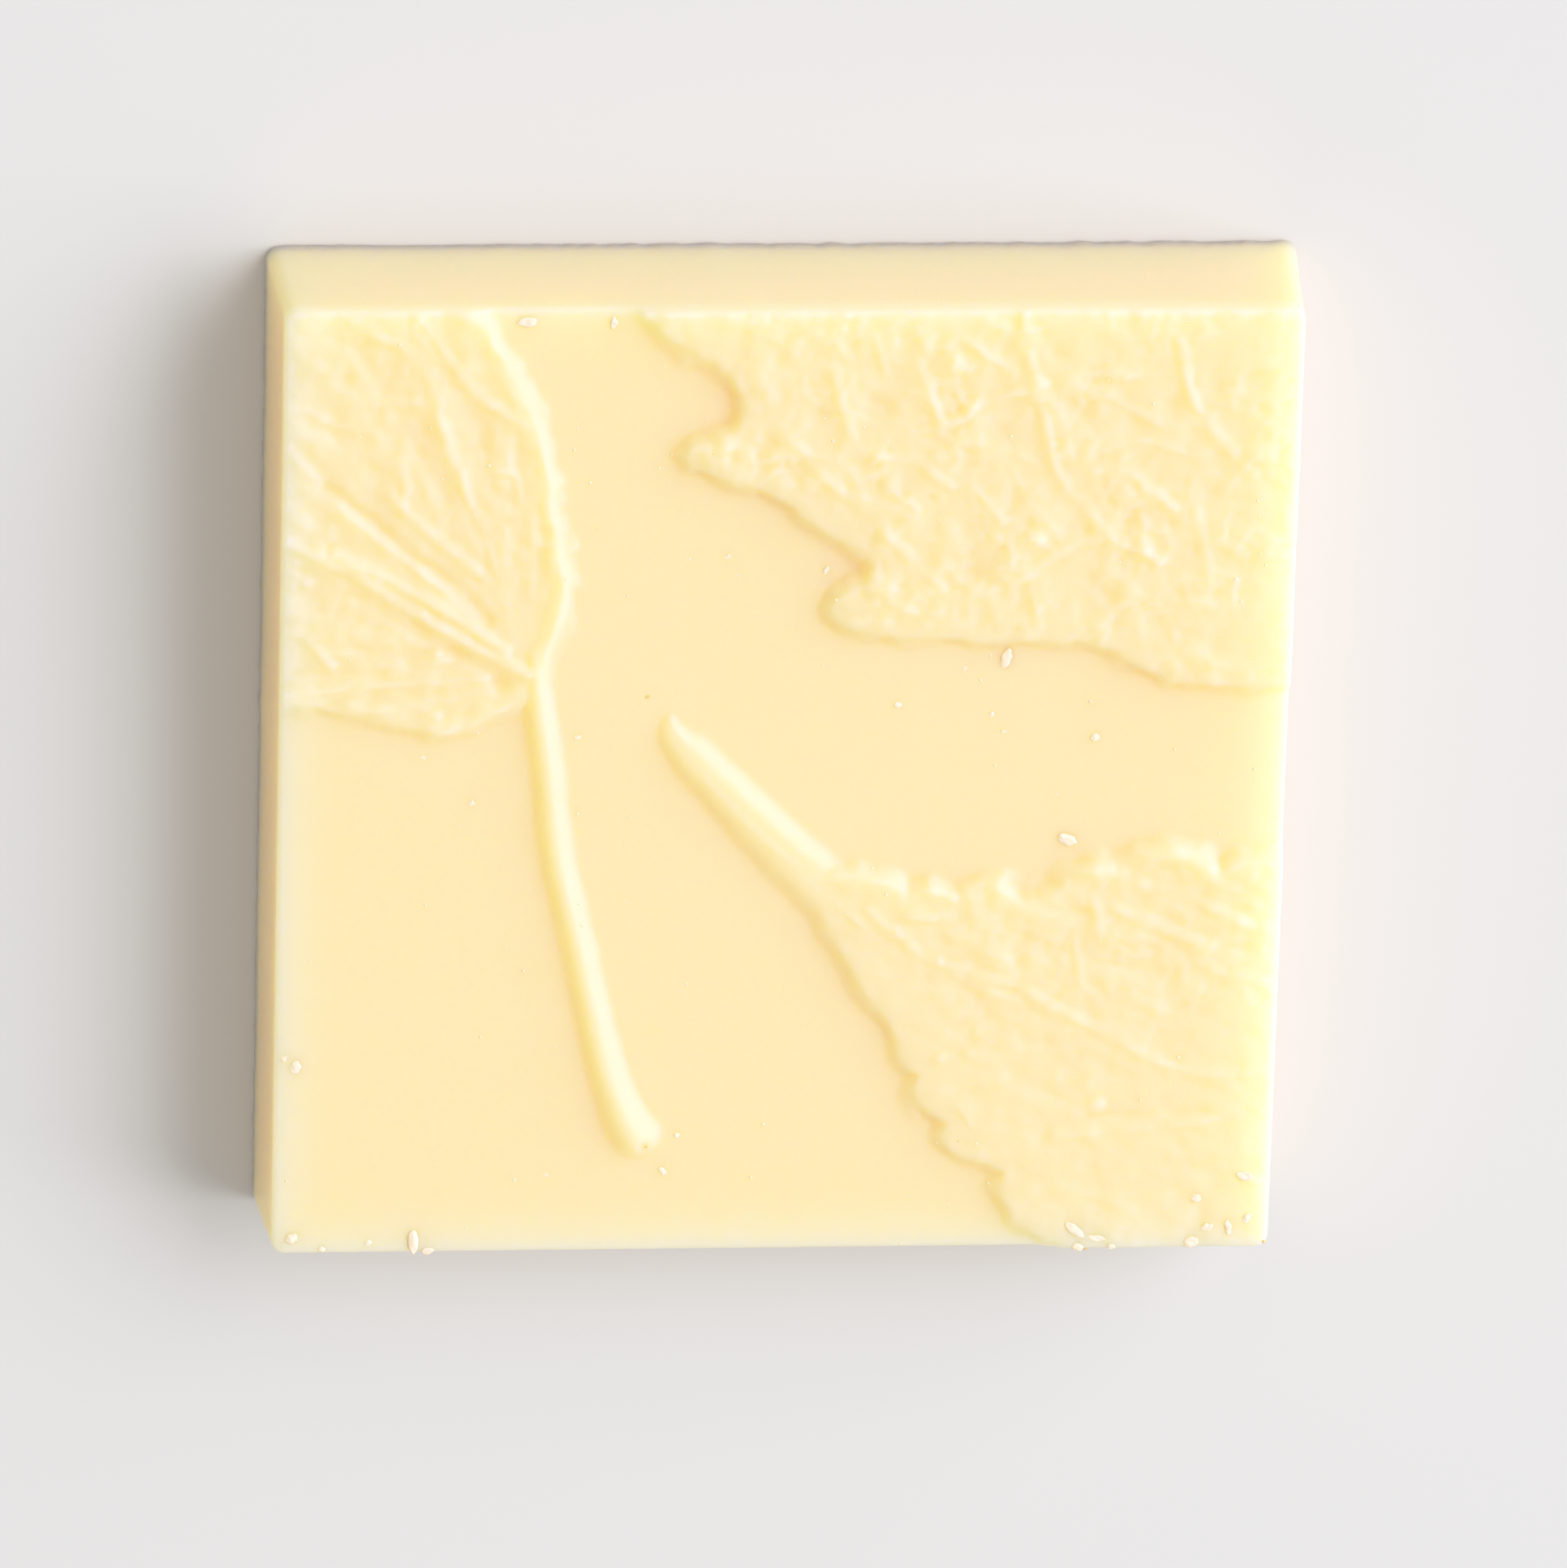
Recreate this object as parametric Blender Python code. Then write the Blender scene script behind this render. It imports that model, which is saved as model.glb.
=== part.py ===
"""A white chocolate square with three leaves moulded in relief on its face.

The square is one cast piece. It lies on the flat back, the side that was open when the mould was
filled, with the moulded face up. Seen from above, X runs to the right and Y up the face. Z points
out of the face, and the origin is the centre of the back. Sizes are in millimetres until the mesh
is written in metres.
"""
import math

import bmesh
import bpy
import numpy as np
from mathutils.geometry import delaunay_2d_cdt

for item in list(bpy.data.objects):
    bpy.data.objects.remove(item, do_unlink=True)

# Driving sizes of the block
MM = 0.001
FACE_SIDE = 39.1
THICKNESS = 6.3
DRAFT = math.radians(3.8)
EDGE_ROUND = 0.35
CORNER_ROUND = 0.55
BACK_BEVEL = 0.12

# Heights and widths of the relief
LEAF_RISE = 0.4
LEAF_WALL = 0.35
STEM_FULLNESS = 2.4
MARGIN_HALF_WIDTH = 0.34

# How finely the curves are followed and the face is divided
CURVE_STEP = 0.25
OUTLINE_STEP = 0.45
STEM_STEP = 0.6
VEIN_STEP = 0.6
FLAT_STEP = 2.4
WALL_CLEAR = 0.96
STEM_FOOT = 1.03
STEM_SHOULDERS = (0.45, 0.8)
NEAREST = 0.11
NEAREST_REFINED = 0.2
STRAY = 0.045
REFINEMENTS = 3
EDGE_TOLERANCE = 0.02
EDGE_STEP = 1.4
EDGE_SAMPLE = 0.12
ROUND_STEPS = 4
CORNER_STEPS = 4
TIP_POINTS = 9

# Outlines of the leaf blades along the top of their walls. Each one runs past the edges of the face,
# where the mould cuts the leaf off.
HEART_LEAF = [
    (-14.6, 22.5), (-12.3, 19.2), (-11.1, 17.3), (-10.1, 15.3), (-9.5, 13.2), (-9.2, 11.2),
    (-8.9, 9.4), (-8.7, 8.1), (-8.9, 6.8), (-9.3, 5.6), (-9.7, 4.4), (-10.4, 3.6), (-11.6, 3.1),
    (-12.7, 2.5), (-13.6, 2.4), (-15.0, 2.8), (-17.0, 3.3), (-19.0, 3.6), (-23.0, 4.2), (-23.0, 22.5),
]
MAPLE_LEAF = [
    (-7.5, 22.5), (-5.6, 19.3), (-4.1, 18.1), (-2.8, 17.4), (-2.0, 16.4), (-1.8, 15.5), (-2.1, 14.6),
    (-2.9, 14.2), (-3.9, 13.9), (-3.8, 13.4), (-2.4, 12.9), (-0.6, 12.1), (0.9, 11.0), (2.0, 10.2),
    (3.0, 9.8), (3.4, 9.1), (3.1, 8.4), (2.3, 7.9), (1.8, 7.2), (2.3, 6.7), (4.6, 6.4), (7.5, 6.2),
    (10.5, 6.2), (12.3, 5.9), (13.4, 5.2), (14.5, 4.6), (16.5, 4.3), (19.0, 4.3), (23.0, 4.5),
    (23.0, 22.5),
]
SCALLOPED_LEAF = [
    (0.9, -4.4), (3.0, -3.4), (4.5, -3.8), (5.0, -3.8), (5.7, -3.4), (6.5, -3.9), (7.1, -4.1),
    (8.2, -3.4), (9.2, -3.9), (10.6, -4.0), (11.2, -3.3), (12.2, -2.8), (13.1, -3.3), (13.8, -2.5),
    (15.0, -2.0), (16.3, -2.5), (17.2, -3.4), (18.3, -2.8), (19.5, -2.9), (23.0, -3.6), (23.0, -23.0),
    (14.0, -23.0), (12.0, -19.6), (10.3, -18.6), (9.6, -17.6), (9.2, -16.5), (7.6, -15.3),
    (6.9, -14.0), (5.9, -12.6), (5.1, -11.2), (4.6, -10.0), (3.4, -8.5), (2.7, -7.2), (2.0, -5.8),
]
# Each leaf's outline, and how far its thickened margin stands above the blade
LEAVES = [(HEART_LEAF, 0.16), (MAPLE_LEAF, 0.04), (SCALLOPED_LEAF, 0.04)]

# Stems: centre line, half width at each point, and rise above the face at each point
HEART_STEM = [
    (-9.55, 5.4, 0.45, 0.65), (-9.35, 3.0, 0.52, 0.75), (-9.15, 1.0, 0.52, 0.75),
    (-8.55, -3.0, 0.52, 0.75), (-7.55, -7.0, 0.52, 0.75), (-6.6, -11.0, 0.54, 0.75),
    (-5.85, -13.0, 0.58, 0.75), (-4.95, -14.75, 0.66, 0.8),
]
SCALLOPED_STEM = [
    (-4.25, 2.35, 0.5, 0.5), (-3.9, 1.85, 0.68, 0.65), (-3.2, 1.1, 0.88, 0.72),
    (-1.95, -0.2, 0.92, 0.72), (-0.6, -1.6, 1.0, 0.7), (0.65, -2.95, 1.08, 0.66),
    (2.0, -4.1, 1.12, 0.58), (3.4, -5.2, 1.15, 0.45),
]
STEMS = [HEART_STEM, SCALLOPED_STEM]

# Veins: rise, half width, then the points of the centre line. A sunken furrow has a negative rise.
VEINS = [
    (0.26, 0.34, [(-9.8, 5.1), (-12.0, 6.4), (-14.0, 7.6), (-16.5, 9.0), (-21.0, 11.4)]),
    (0.20, 0.28, [(-10.4, 5.8), (-12.2, 7.1), (-14.0, 8.4), (-16.0, 9.7), (-18.5, 11.3)]),
    (0.10, 0.28, [(-12.6, 7.9), (-15.1, 9.6), (-17.9, 12.2), (-20.5, 15.4)]),
    (-0.20, 0.34, [(-11.6, 7.7), (-13.8, 9.6), (-16.0, 11.5), (-17.7, 13.4)]),
    (0.12, 0.28, [(-12.0, 8.9), (-13.8, 10.5), (-15.7, 12.3)]),
    (0.10, 0.26, [(-10.6, 6.0), (-11.6, 10.0), (-13.0, 13.6), (-14.2, 17.6)]),
    (0.10, 0.28, [(-10.5, 15.0), (-12.4, 16.5), (-14.4, 19.2)]),
    (0.12, 0.30, [(-14.9, 18.0), (-17.0, 19.1)]),
    (0.10, 0.28, [(1.4, 17.3), (2.0, 15.0), (2.7, 13.8), (4.5, 13.4), (6.1, 12.4)]),
    (0.10, 0.28, [(0.2, 14.1), (1.4, 12.6), (3.5, 11.2)]),
    (0.10, 0.30, [(5.6, 14.7), (7.6, 15.9), (11.0, 16.9), (13.0, 16.9)]),
    (0.12, 0.28, [(8.9, 17.8), (9.7, 14.8), (10.3, 12.7), (12.3, 10.3)]),
    (0.14, 0.28, [(14.7, 18.3), (15.5, 15.5), (17.7, 12.8)]),
    (0.10, 0.26, [(13.2, 12.7), (14.7, 11.5)]),
    (0.10, 0.28, [(15.6, 11.3), (16.3, 8.4)]),
    (0.12, 0.28, [(3.6, 10.5), (5.9, 8.2)]),
    (0.09, 0.28, [(8.6, 8.4), (11.6, 10.2), (14.3, 9.4)]),
    (0.12, 0.28, [(3.4, -5.1), (5.4, -7.0), (9.0, -8.3), (12.0, -9.9), (16.0, -12.0), (20.0, -12.1)]),
    (0.10, 0.32, [(13.1, -5.2), (16.8, -6.8)]),
    (0.10, 0.30, [(16.4, -4.9), (18.3, -5.9)]),
    (0.08, 0.30, [(12.3, -4.6), (12.4, -6.1), (13.4, -6.7)]),
    (0.08, 0.30, [(16.9, -7.7), (19.0, -8.3)]),
    (0.08, 0.30, [(11.0, -14.7), (17.2, -14.1)]),
    (0.14, 0.36, [(14.1, -3.3), (15.1, -2.6), (16.6, -3.2), (17.0, -3.9)]),
]

# Small round bumps and hollows: centre, radius, rise
SPOTS = [
    (5.8, -4.1, 0.6, 0.14), (8.3, -4.2, 0.75, 0.14), (12.2, -3.7, 0.8, 0.12),
    (12.6, -13.4, 0.5, 0.15), (-11.1, 4.3, 0.6, -0.22), (-12.9, 5.6, 0.7, -0.12),
    (0.9, 15.3, 0.7, -0.10), (3.2, 15.6, 0.9, -0.14), (8.0, 14.6, 0.8, -0.08),
    (10.9, 15.6, 0.9, -0.10), (8.7, 11.6, 0.9, -0.08), (12.8, 10.9, 0.8, -0.09),
    (7.0, 8.9, 0.9, -0.07), (16.3, 16.4, 0.8, -0.09),
]


def smooth_curve(points, spacing):
    """Sample a Catmull-Rom curve through the points, about one sample for each length of spacing."""
    rows = np.array(points, dtype=float)
    rows = np.vstack([2.0 * rows[0] - rows[1], rows, 2.0 * rows[-1] - rows[-2]])
    samples = []
    for before, start, end, after in zip(rows, rows[1:], rows[2:], rows[3:]):
        count = max(1, round(float(np.linalg.norm(end[:2] - start[:2])) / spacing))
        for t in np.arange(count) / count:
            samples.append(0.5 * (2.0 * start + (end - before) * t
                                  + (2.0 * before - 5.0 * start + 4.0 * end - after) * t ** 2
                                  + (3.0 * start - before - 3.0 * end + after) * t ** 3))
    samples.append(rows[-2])
    return np.array(samples)


def nearest_on_line(places, line):
    """Distance from each place to a line, and the line's columns at the nearest spot."""
    start = line[:-1]
    run = line[1:] - start
    length_squared = np.maximum((run[:, :2] ** 2).sum(axis=1), 1e-12)
    offset = places[:, None, :] - start[None, :, :2]
    along = np.clip((offset * run[None, :, :2]).sum(axis=2) / length_squared, 0.0, 1.0)
    gap = np.linalg.norm(offset - along[:, :, None] * run[None, :, :2], axis=2)
    best = gap.argmin(axis=1)
    row = np.arange(len(places))
    return gap[row, best], start[best] + along[row, best, None] * run[best]


def inside(places, outline):
    """Whether each place lies inside a closed outline, by counting the sides crossed to its right."""
    x, y = places[:, 0, None], places[:, 1, None]
    start, end = outline, np.roll(outline, -1, axis=0)
    rising = (start[:, 1] > y) != (end[:, 1] > y)
    drop = np.where(end[:, 1] == start[:, 1], 1.0, end[:, 1] - start[:, 1])
    crossing = start[:, 0] + (y - start[:, 1]) * (end[:, 0] - start[:, 0]) / drop
    return (rising & (x < crossing)).sum(axis=1) % 2 == 1


def ease(t):
    """Smooth step from 0 to 1."""
    t = np.clip(t, 0.0, 1.0)
    return t * t * (3.0 - 2.0 * t)


def bump(t):
    """1 at 0, falling smoothly to 0 at 1."""
    return (1.0 - np.minimum(np.abs(t), 1.0) ** 2) ** 2


LEAF_LOOPS = [(smooth_curve(outline, CURVE_STEP), margin) for outline, margin in LEAVES]
STEM_LINES = [smooth_curve(stem, CURVE_STEP) for stem in STEMS]
VEIN_LINES = [(rise, half, smooth_curve(points, CURVE_STEP)) for rise, half, points in VEINS]


def relief(places):
    """Height of the moulded surface above the flat of the face."""
    height = np.zeros(len(places))
    blade = np.zeros(len(places))
    for loop, margin in LEAF_LOOPS:
        gap, _ = nearest_on_line(places, np.vstack([loop, loop[:1]]))
        inset = np.where(inside(places, loop), gap, -gap)
        here = ease(1.0 + inset / LEAF_WALL)
        height += here * (LEAF_RISE + margin * bump(inset / MARGIN_HALF_WIDTH))
        blade = np.maximum(blade, here)
    for rise, half, line in VEIN_LINES:
        gap, _ = nearest_on_line(places, line)
        height += blade * rise * bump(gap / half)
    for x, y, radius, rise in SPOTS:
        gap = np.linalg.norm(places - (x, y), axis=1)
        height += blade * rise * bump(gap / radius)
    for line in STEM_LINES:
        gap, nearest = nearest_on_line(places, line)
        across = np.minimum(gap / nearest[:, 2], 1.0)
        height = np.maximum(height, nearest[:, 3] * (1.0 - across ** STEM_FULLNESS))
    return height


def rounded_square(half_side, radius, along_sides):
    """Points and outward directions round a square with round corners, anticlockwise.

    along_sides gives, for each side, the distances from that side's middle where it has a point.
    """
    points, outward = [], []
    core = half_side - radius
    for quarter, stations in enumerate(along_sides):
        turn = quarter * math.pi / 2.0
        facing = np.array([math.cos(turn), math.sin(turn)])
        ahead = np.array([-facing[1], facing[0]])
        for distance in stations:
            points.append(facing * half_side + ahead * distance)
            outward.append(facing)
        for step in range(1, CORNER_STEPS):
            angle = turn + step * math.pi / 2.0 / CORNER_STEPS
            direction = np.array([math.cos(angle), math.sin(angle)])
            points.append(core * (facing + ahead) + radius * direction)
            outward.append(direction)
    return np.array(points), np.array(outward)


def needed(places, heights, first, last):
    """Indices of the samples that keep a run of heights within the tolerance, by splitting it."""
    run = places[last] - places[first]
    guess = heights[first] + (heights[last] - heights[first]) * (places[first:last + 1] - places[first]) / run
    error = np.abs(heights[first:last + 1] - guess)
    worst = first + int(error.argmax())
    if error.max() <= EDGE_TOLERANCE and run <= EDGE_STEP:
        return [first]
    if error.max() <= EDGE_TOLERANCE:
        worst = (first + last) // 2
    return needed(places, heights, first, worst) + needed(places, heights, worst, last)


def side_stations(quarter, half_side, radius):
    """Where one side of the face needs points, so that it follows the leaves that run over it."""
    turn = quarter * math.pi / 2.0
    facing = np.array([math.cos(turn), math.sin(turn)])
    ahead = np.array([-facing[1], facing[0]])
    core = half_side - radius
    distances = np.linspace(-core, core, round(2.0 * core / EDGE_SAMPLE) + 1)
    heights = relief(facing * half_side + ahead * distances[:, None])
    picked = needed(distances, heights, 0, len(distances) - 1)
    return [distances[index] for index in picked] + [core]


def alongside(line, distance):
    """The line moved sideways by the distance, to its left and to its right."""
    ahead = np.gradient(line[:, :2], axis=0)
    ahead /= np.linalg.norm(ahead, axis=1)[:, None]
    side = np.column_stack([-ahead[:, 1], ahead[:, 0]]) * np.asarray(distance).reshape(-1, 1)
    return [line[:, :2] + side, line[:, :2] - side]


def round_tip(tip, share):
    """Places round one end of a stem, at a share of its half width there."""
    angles = np.arange(TIP_POINTS) * 2.0 * math.pi / TIP_POINTS
    reach = share * tip[2]
    return np.column_stack([tip[0] + reach * np.cos(angles), tip[1] + reach * np.sin(angles)])


def staggered(half_inside, spacing):
    """Evenly staggered places over the whole face."""
    rows = []
    for row, y in enumerate(np.arange(-half_inside, half_inside, spacing * math.sqrt(0.75))):
        x = np.arange(-half_inside, half_inside, spacing) + 0.5 * spacing * (row % 2)
        rows.append(np.column_stack([x, np.full(len(x), y)]))
    return np.vstack(rows)


def face_points(half_inside):
    """Points where the relief turns: feet of the walls first, then crests, then flanks."""
    feet, crests, flanks = [], [], []
    for stem in STEMS:
        line = smooth_curve(stem, STEM_STEP)
        feet += alongside(line, STEM_FOOT * line[:, 2])
        feet += [round_tip(line[0], STEM_FOOT), round_tip(line[-1], STEM_FOOT)]
        crests.append(line[:, :2])
        for share in STEM_SHOULDERS:
            flanks += alongside(line, share * line[:, 2])
            flanks += [round_tip(line[0], share), round_tip(line[-1], share)]
    for outline, _ in LEAVES:
        loop = smooth_curve(outline, OUTLINE_STEP)
        walls = np.vstack(alongside(loop, LEAF_WALL))
        gap, _ = nearest_on_line(walls, loop)
        feet.append(walls[gap > WALL_CLEAR * LEAF_WALL])
        crests.append(loop)
    for _, half, points in VEINS:
        line = smooth_curve(points, VEIN_STEP)
        crests.append(line)
        flanks += alongside(line, half)
    for x, y, radius, _ in SPOTS:
        crests.append(np.array([[x, y]]))
        flanks += [round_tip((x, y, radius), 0.5), round_tip((x, y, radius), 1.0)]
    points = np.vstack(feet + crests + flanks + [staggered(half_inside, FLAT_STEP)])
    return points[np.abs(points).max(axis=1) < half_inside]


def spread_out(kept, points, spacing):
    """Add to the kept points those that stay clear of every point kept before them."""
    room = np.vstack([kept, points])
    count = len(kept)
    for point in points:
        if np.linalg.norm(room[:count] - point, axis=1).min() >= spacing:
            room[count] = point
            count += 1
    return room[:count]


def divide(plan, rim_count):
    """Triangles over the plan's points, with the rim kept as their border."""
    rim_sides = [(index, (index + 1) % rim_count) for index in range(rim_count)]
    _, _, triangles, _, _, _ = delaunay_2d_cdt(plan.tolist(), rim_sides, [], 1, 1e-5)
    return np.array(triangles)


def divided_face(rim, half_inside):
    """Points and triangles of the face, finer wherever a triangle would stray from the relief."""
    plan = spread_out(rim, face_points(half_inside), NEAREST)
    for _ in range(REFINEMENTS):
        corners = divide(plan, len(rim))
        heights = relief(plan)
        for pair in ((0, 1), (1, 2), (2, 0), (0, 1, 2)):
            middles = plan[corners[:, pair]].mean(axis=1)
            stray = np.abs(relief(middles) - heights[corners[:, pair]].mean(axis=1))
            order = np.argsort(-stray, kind="stable")
            middles = middles[order][stray[order] > STRAY]
            middles = middles[np.abs(middles).max(axis=1) < half_inside]
            plan = spread_out(plan, middles, NEAREST_REFINED)
    return plan, divide(plan, len(rim))


def build_square():
    """The whole block: the divided face, the rounded edge, the drafted sides and the flat back."""
    half_face = FACE_SIDE / 2.0
    half_top = half_face - EDGE_ROUND
    top_radius = CORNER_ROUND - EDGE_ROUND
    stations = [side_stations(quarter, half_top, top_radius) for quarter in range(4)]
    rim, outward = rounded_square(half_top, top_radius, stations)

    plan, triangles = divided_face(rim, half_top - NEAREST_REFINED)
    heights = relief(plan)
    count = len(rim)

    mesh = bmesh.new()
    top = [mesh.verts.new((x * MM, y * MM, (THICKNESS + height) * MM))
           for (x, y), height in zip(plan, heights)]
    for triangle in triangles:
        mesh.faces.new([top[index] for index in triangle])

    # The rim's points come first in the plan, so the rows below it follow the same order
    rim_heights = heights[:count]
    rows = [top[:count]]
    for step in range(1, ROUND_STEPS + 1):
        angle = (math.pi / 2.0 - DRAFT) * step / ROUND_STEPS
        reach = EDGE_ROUND * math.sin(angle)
        drop = EDGE_ROUND * (1.0 - math.cos(angle))
        rows.append([mesh.verts.new((*((place + direction * reach) * MM), (THICKNESS + height - drop) * MM))
                     for place, direction, height in zip(rim, outward, rim_heights)])
    flare = EDGE_ROUND + (THICKNESS - BACK_BEVEL) * math.tan(DRAFT)
    back_rows = ((flare, BACK_BEVEL), (flare - BACK_BEVEL, 0.0))
    for reach, z in back_rows:
        rows.append([mesh.verts.new((*((place + direction * reach) * MM), z * MM))
                     for place, direction in zip(rim, outward)])
    for upper, lower in zip(rows, rows[1:]):
        for index in range(count):
            after = (index + 1) % count
            mesh.faces.new((upper[index], lower[index], lower[after], upper[after]))
    mesh.faces.new(list(reversed(rows[-1])))
    bmesh.ops.recalc_face_normals(mesh, faces=mesh.faces)
    return mesh


def white_chocolate():
    """Ivory cocoa-butter chocolate with a soft sheen."""
    material = bpy.data.materials.new("white_chocolate")
    material.use_nodes = True
    shader = material.node_tree.nodes["Principled BSDF"]
    shader.inputs["Base Color"].default_value = (0.93, 0.78, 0.47, 1.0)
    shader.inputs["Roughness"].default_value = 0.42
    shader.inputs["Metallic"].default_value = 0.0
    return material


def add_square():
    """Place the block in the scene as one named object."""
    mesh = build_square()
    data = bpy.data.meshes.new("chocolate_square")
    mesh.to_mesh(data)
    mesh.free()
    data.shade_smooth()
    data.set_sharp_from_angle(angle=math.radians(30.0))
    data.materials.append(white_chocolate())
    block = bpy.data.objects.new("chocolate_square", data)
    bpy.context.scene.collection.objects.link(block)


add_square()
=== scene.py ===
"""A white chocolate square with three leaves moulded in relief, dressed over its fixed frame.

The square lies on its flat back with the moulded face up, so the camera looks down on it at the angle
of the photograph. Lengths are in millimetres and become metres where a mesh is written.
"""
import math

import bpy
import numpy as np
from mathutils import Matrix, Vector, noise
from mathutils.geometry import delaunay_2d_cdt


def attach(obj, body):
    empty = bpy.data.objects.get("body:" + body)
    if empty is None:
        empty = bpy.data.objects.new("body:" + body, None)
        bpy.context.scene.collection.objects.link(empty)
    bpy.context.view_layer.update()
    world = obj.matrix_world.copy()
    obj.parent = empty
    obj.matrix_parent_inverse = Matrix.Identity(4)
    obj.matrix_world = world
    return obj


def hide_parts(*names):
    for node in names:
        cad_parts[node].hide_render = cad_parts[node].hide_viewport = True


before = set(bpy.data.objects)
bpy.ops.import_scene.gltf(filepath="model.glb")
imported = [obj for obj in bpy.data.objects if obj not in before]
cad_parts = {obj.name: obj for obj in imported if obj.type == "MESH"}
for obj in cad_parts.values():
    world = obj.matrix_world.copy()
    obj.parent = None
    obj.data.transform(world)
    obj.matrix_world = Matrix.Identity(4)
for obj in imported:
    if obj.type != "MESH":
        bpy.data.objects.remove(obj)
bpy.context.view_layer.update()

# The chocolate square
# One piece of white chocolate, cast in a shallow mould. Its face took three leaves and their stems in
# relief from the mould, its sides lean outwards to let it go, and its flat back was the open side.
MM = 0.001
FACE_SIDE = 39.1
THICKNESS = 6.3
DRAFT = math.radians(3.8)
EDGE_ROUND = 0.2
CORNER_ROUND = 0.5
BACK_BEVEL = 0.12

# Width of the walls round the leaves, and how far a leaf's thickened margin reaches out and in
LEAF_WALL = 0.62
MARGIN_OUTER = 0.4
MARGIN_INNER = 0.7
# How closely smooth curves are sampled
CURVE_STEP = 0.25

# Outlines of the leaf blades along the top of their walls, out past the edges that cut them off
HEART_LEAF = [
    (-14.6, 22.5), (-12.3, 19.2), (-11.1, 17.3), (-10.1, 15.3), (-9.5, 13.2), (-9.2, 11.2),
    (-8.9, 9.4), (-8.7, 8.1), (-8.9, 6.8), (-9.3, 5.6), (-9.7, 4.4), (-10.4, 3.6), (-11.6, 3.1),
    (-12.7, 2.5), (-13.6, 2.4), (-15.0, 2.8), (-17.0, 3.3), (-19.0, 3.6), (-23.0, 4.2), (-23.0, 22.5),
]
MAPLE_LEAF = [
    (-7.5, 22.5), (-5.6, 19.3), (-4.1, 18.1), (-2.8, 17.4), (-2.0, 16.4), (-1.8, 15.5), (-2.1, 14.6),
    (-2.9, 14.2), (-3.9, 13.9), (-3.8, 13.4), (-2.4, 12.9), (-0.6, 12.1), (0.9, 11.0), (2.0, 10.2),
    (3.0, 9.8), (3.4, 9.1), (3.1, 8.4), (2.3, 7.9), (1.8, 7.2), (2.3, 6.7), (4.6, 6.4), (7.5, 6.2),
    (10.5, 6.2), (12.3, 5.9), (13.4, 5.2), (14.5, 4.6), (16.5, 4.3), (19.0, 4.3), (23.0, 4.5),
    (23.0, 22.5),
]
SCALLOPED_LEAF = [
    (1.2, -4.0), (2.3, -3.75), (3.3, -3.95), (4.2, -4.15), (4.9, -4.75), (5.3, -4.45), (5.8, -4.25),
    (6.3, -4.5), (7.0, -4.9), (7.4, -4.4), (8.2, -4.15), (8.7, -4.35), (9.2, -4.85), (10.3, -4.8),
    (11.0, -4.3), (11.4, -3.75), (12.1, -3.5), (12.8, -3.65), (13.15, -4.0), (13.6, -3.3), (14.3, -2.85),
    (15.2, -2.7), (16.0, -3.05), (16.7, -3.6), (17.15, -4.0), (17.7, -3.5), (18.3, -3.3), (19.5, -3.4),
    (23.0, -4.2), (23.0, -23.0),
    (14.0, -23.0), (12.0, -19.6), (10.3, -18.7), (9.5, -17.9), (9.1, -17.0), (9.25, -16.2), (8.4, -15.75),
    (7.35, -15.45), (6.8, -14.8), (6.95, -14.1), (6.15, -13.6), (5.5, -12.9), (5.75, -12.1), (5.05, -11.4),
    (4.85, -10.5), (4.2, -9.5), (3.4, -8.4), (2.7, -7.2), (2.0, -5.8),
]
# Each leaf's outline, how far its blade stands above the face, and its thickened margin above the blade
LEAVES = {
    "heart": (HEART_LEAF, 0.28, 0.09),
    "maple": (MAPLE_LEAF, 0.45, 0.0),
    "scalloped": (SCALLOPED_LEAF, 0.39, 0.0),
}

# Stems: centre line, half width and rise at each point
HEART_STEM = [
    (-9.72, 5.6, 0.45, 0.45), (-9.55, 3.9, 0.56, 0.45), (-9.4, 2.6, 0.65, 0.44), (-9.15, 1.0, 0.68, 0.43),
    (-8.65, -3.0, 0.69, 0.43), (-7.7, -7.0, 0.71, 0.43), (-6.8, -11.0, 0.76, 0.44),
    (-6.18, -13.0, 0.86, 0.48), (-5.77, -14.0, 0.97, 0.53), (-5.38, -14.65, 1.02, 0.53),
]
SCALLOPED_STEM = [
    (-4.48, 2.66, 0.24, 0.12), (-4.36, 2.14, 0.58, 0.29), (-3.57, 1.16, 0.88, 0.40),
    (-2.21, -0.29, 1.02, 0.42), (-0.82, -1.83, 1.16, 0.42), (0.43, -3.12, 1.24, 0.41),
    (1.66, -4.42, 1.28, 0.40), (3.1, -5.7, 1.35, 0.36), (5.0, -7.0, 1.5, 0.28), (7.0, -8.2, 1.5, 0.15),
]
# How far the crest of each stem lies off its middle, as a part of the half width, and how broad it is: the
# higher that number, the flatter the top and the steeper the flanks
STEMS = ((HEART_STEM, 0.16, 2.1), (SCALLOPED_STEM, 0.16, 2.4))
# The way across the stems from the crest towards the gentler flank, and how softly the flanks run out
STEM_LEAN = np.array([0.93, 0.36])
STEM_FOOT = 1.5

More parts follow.
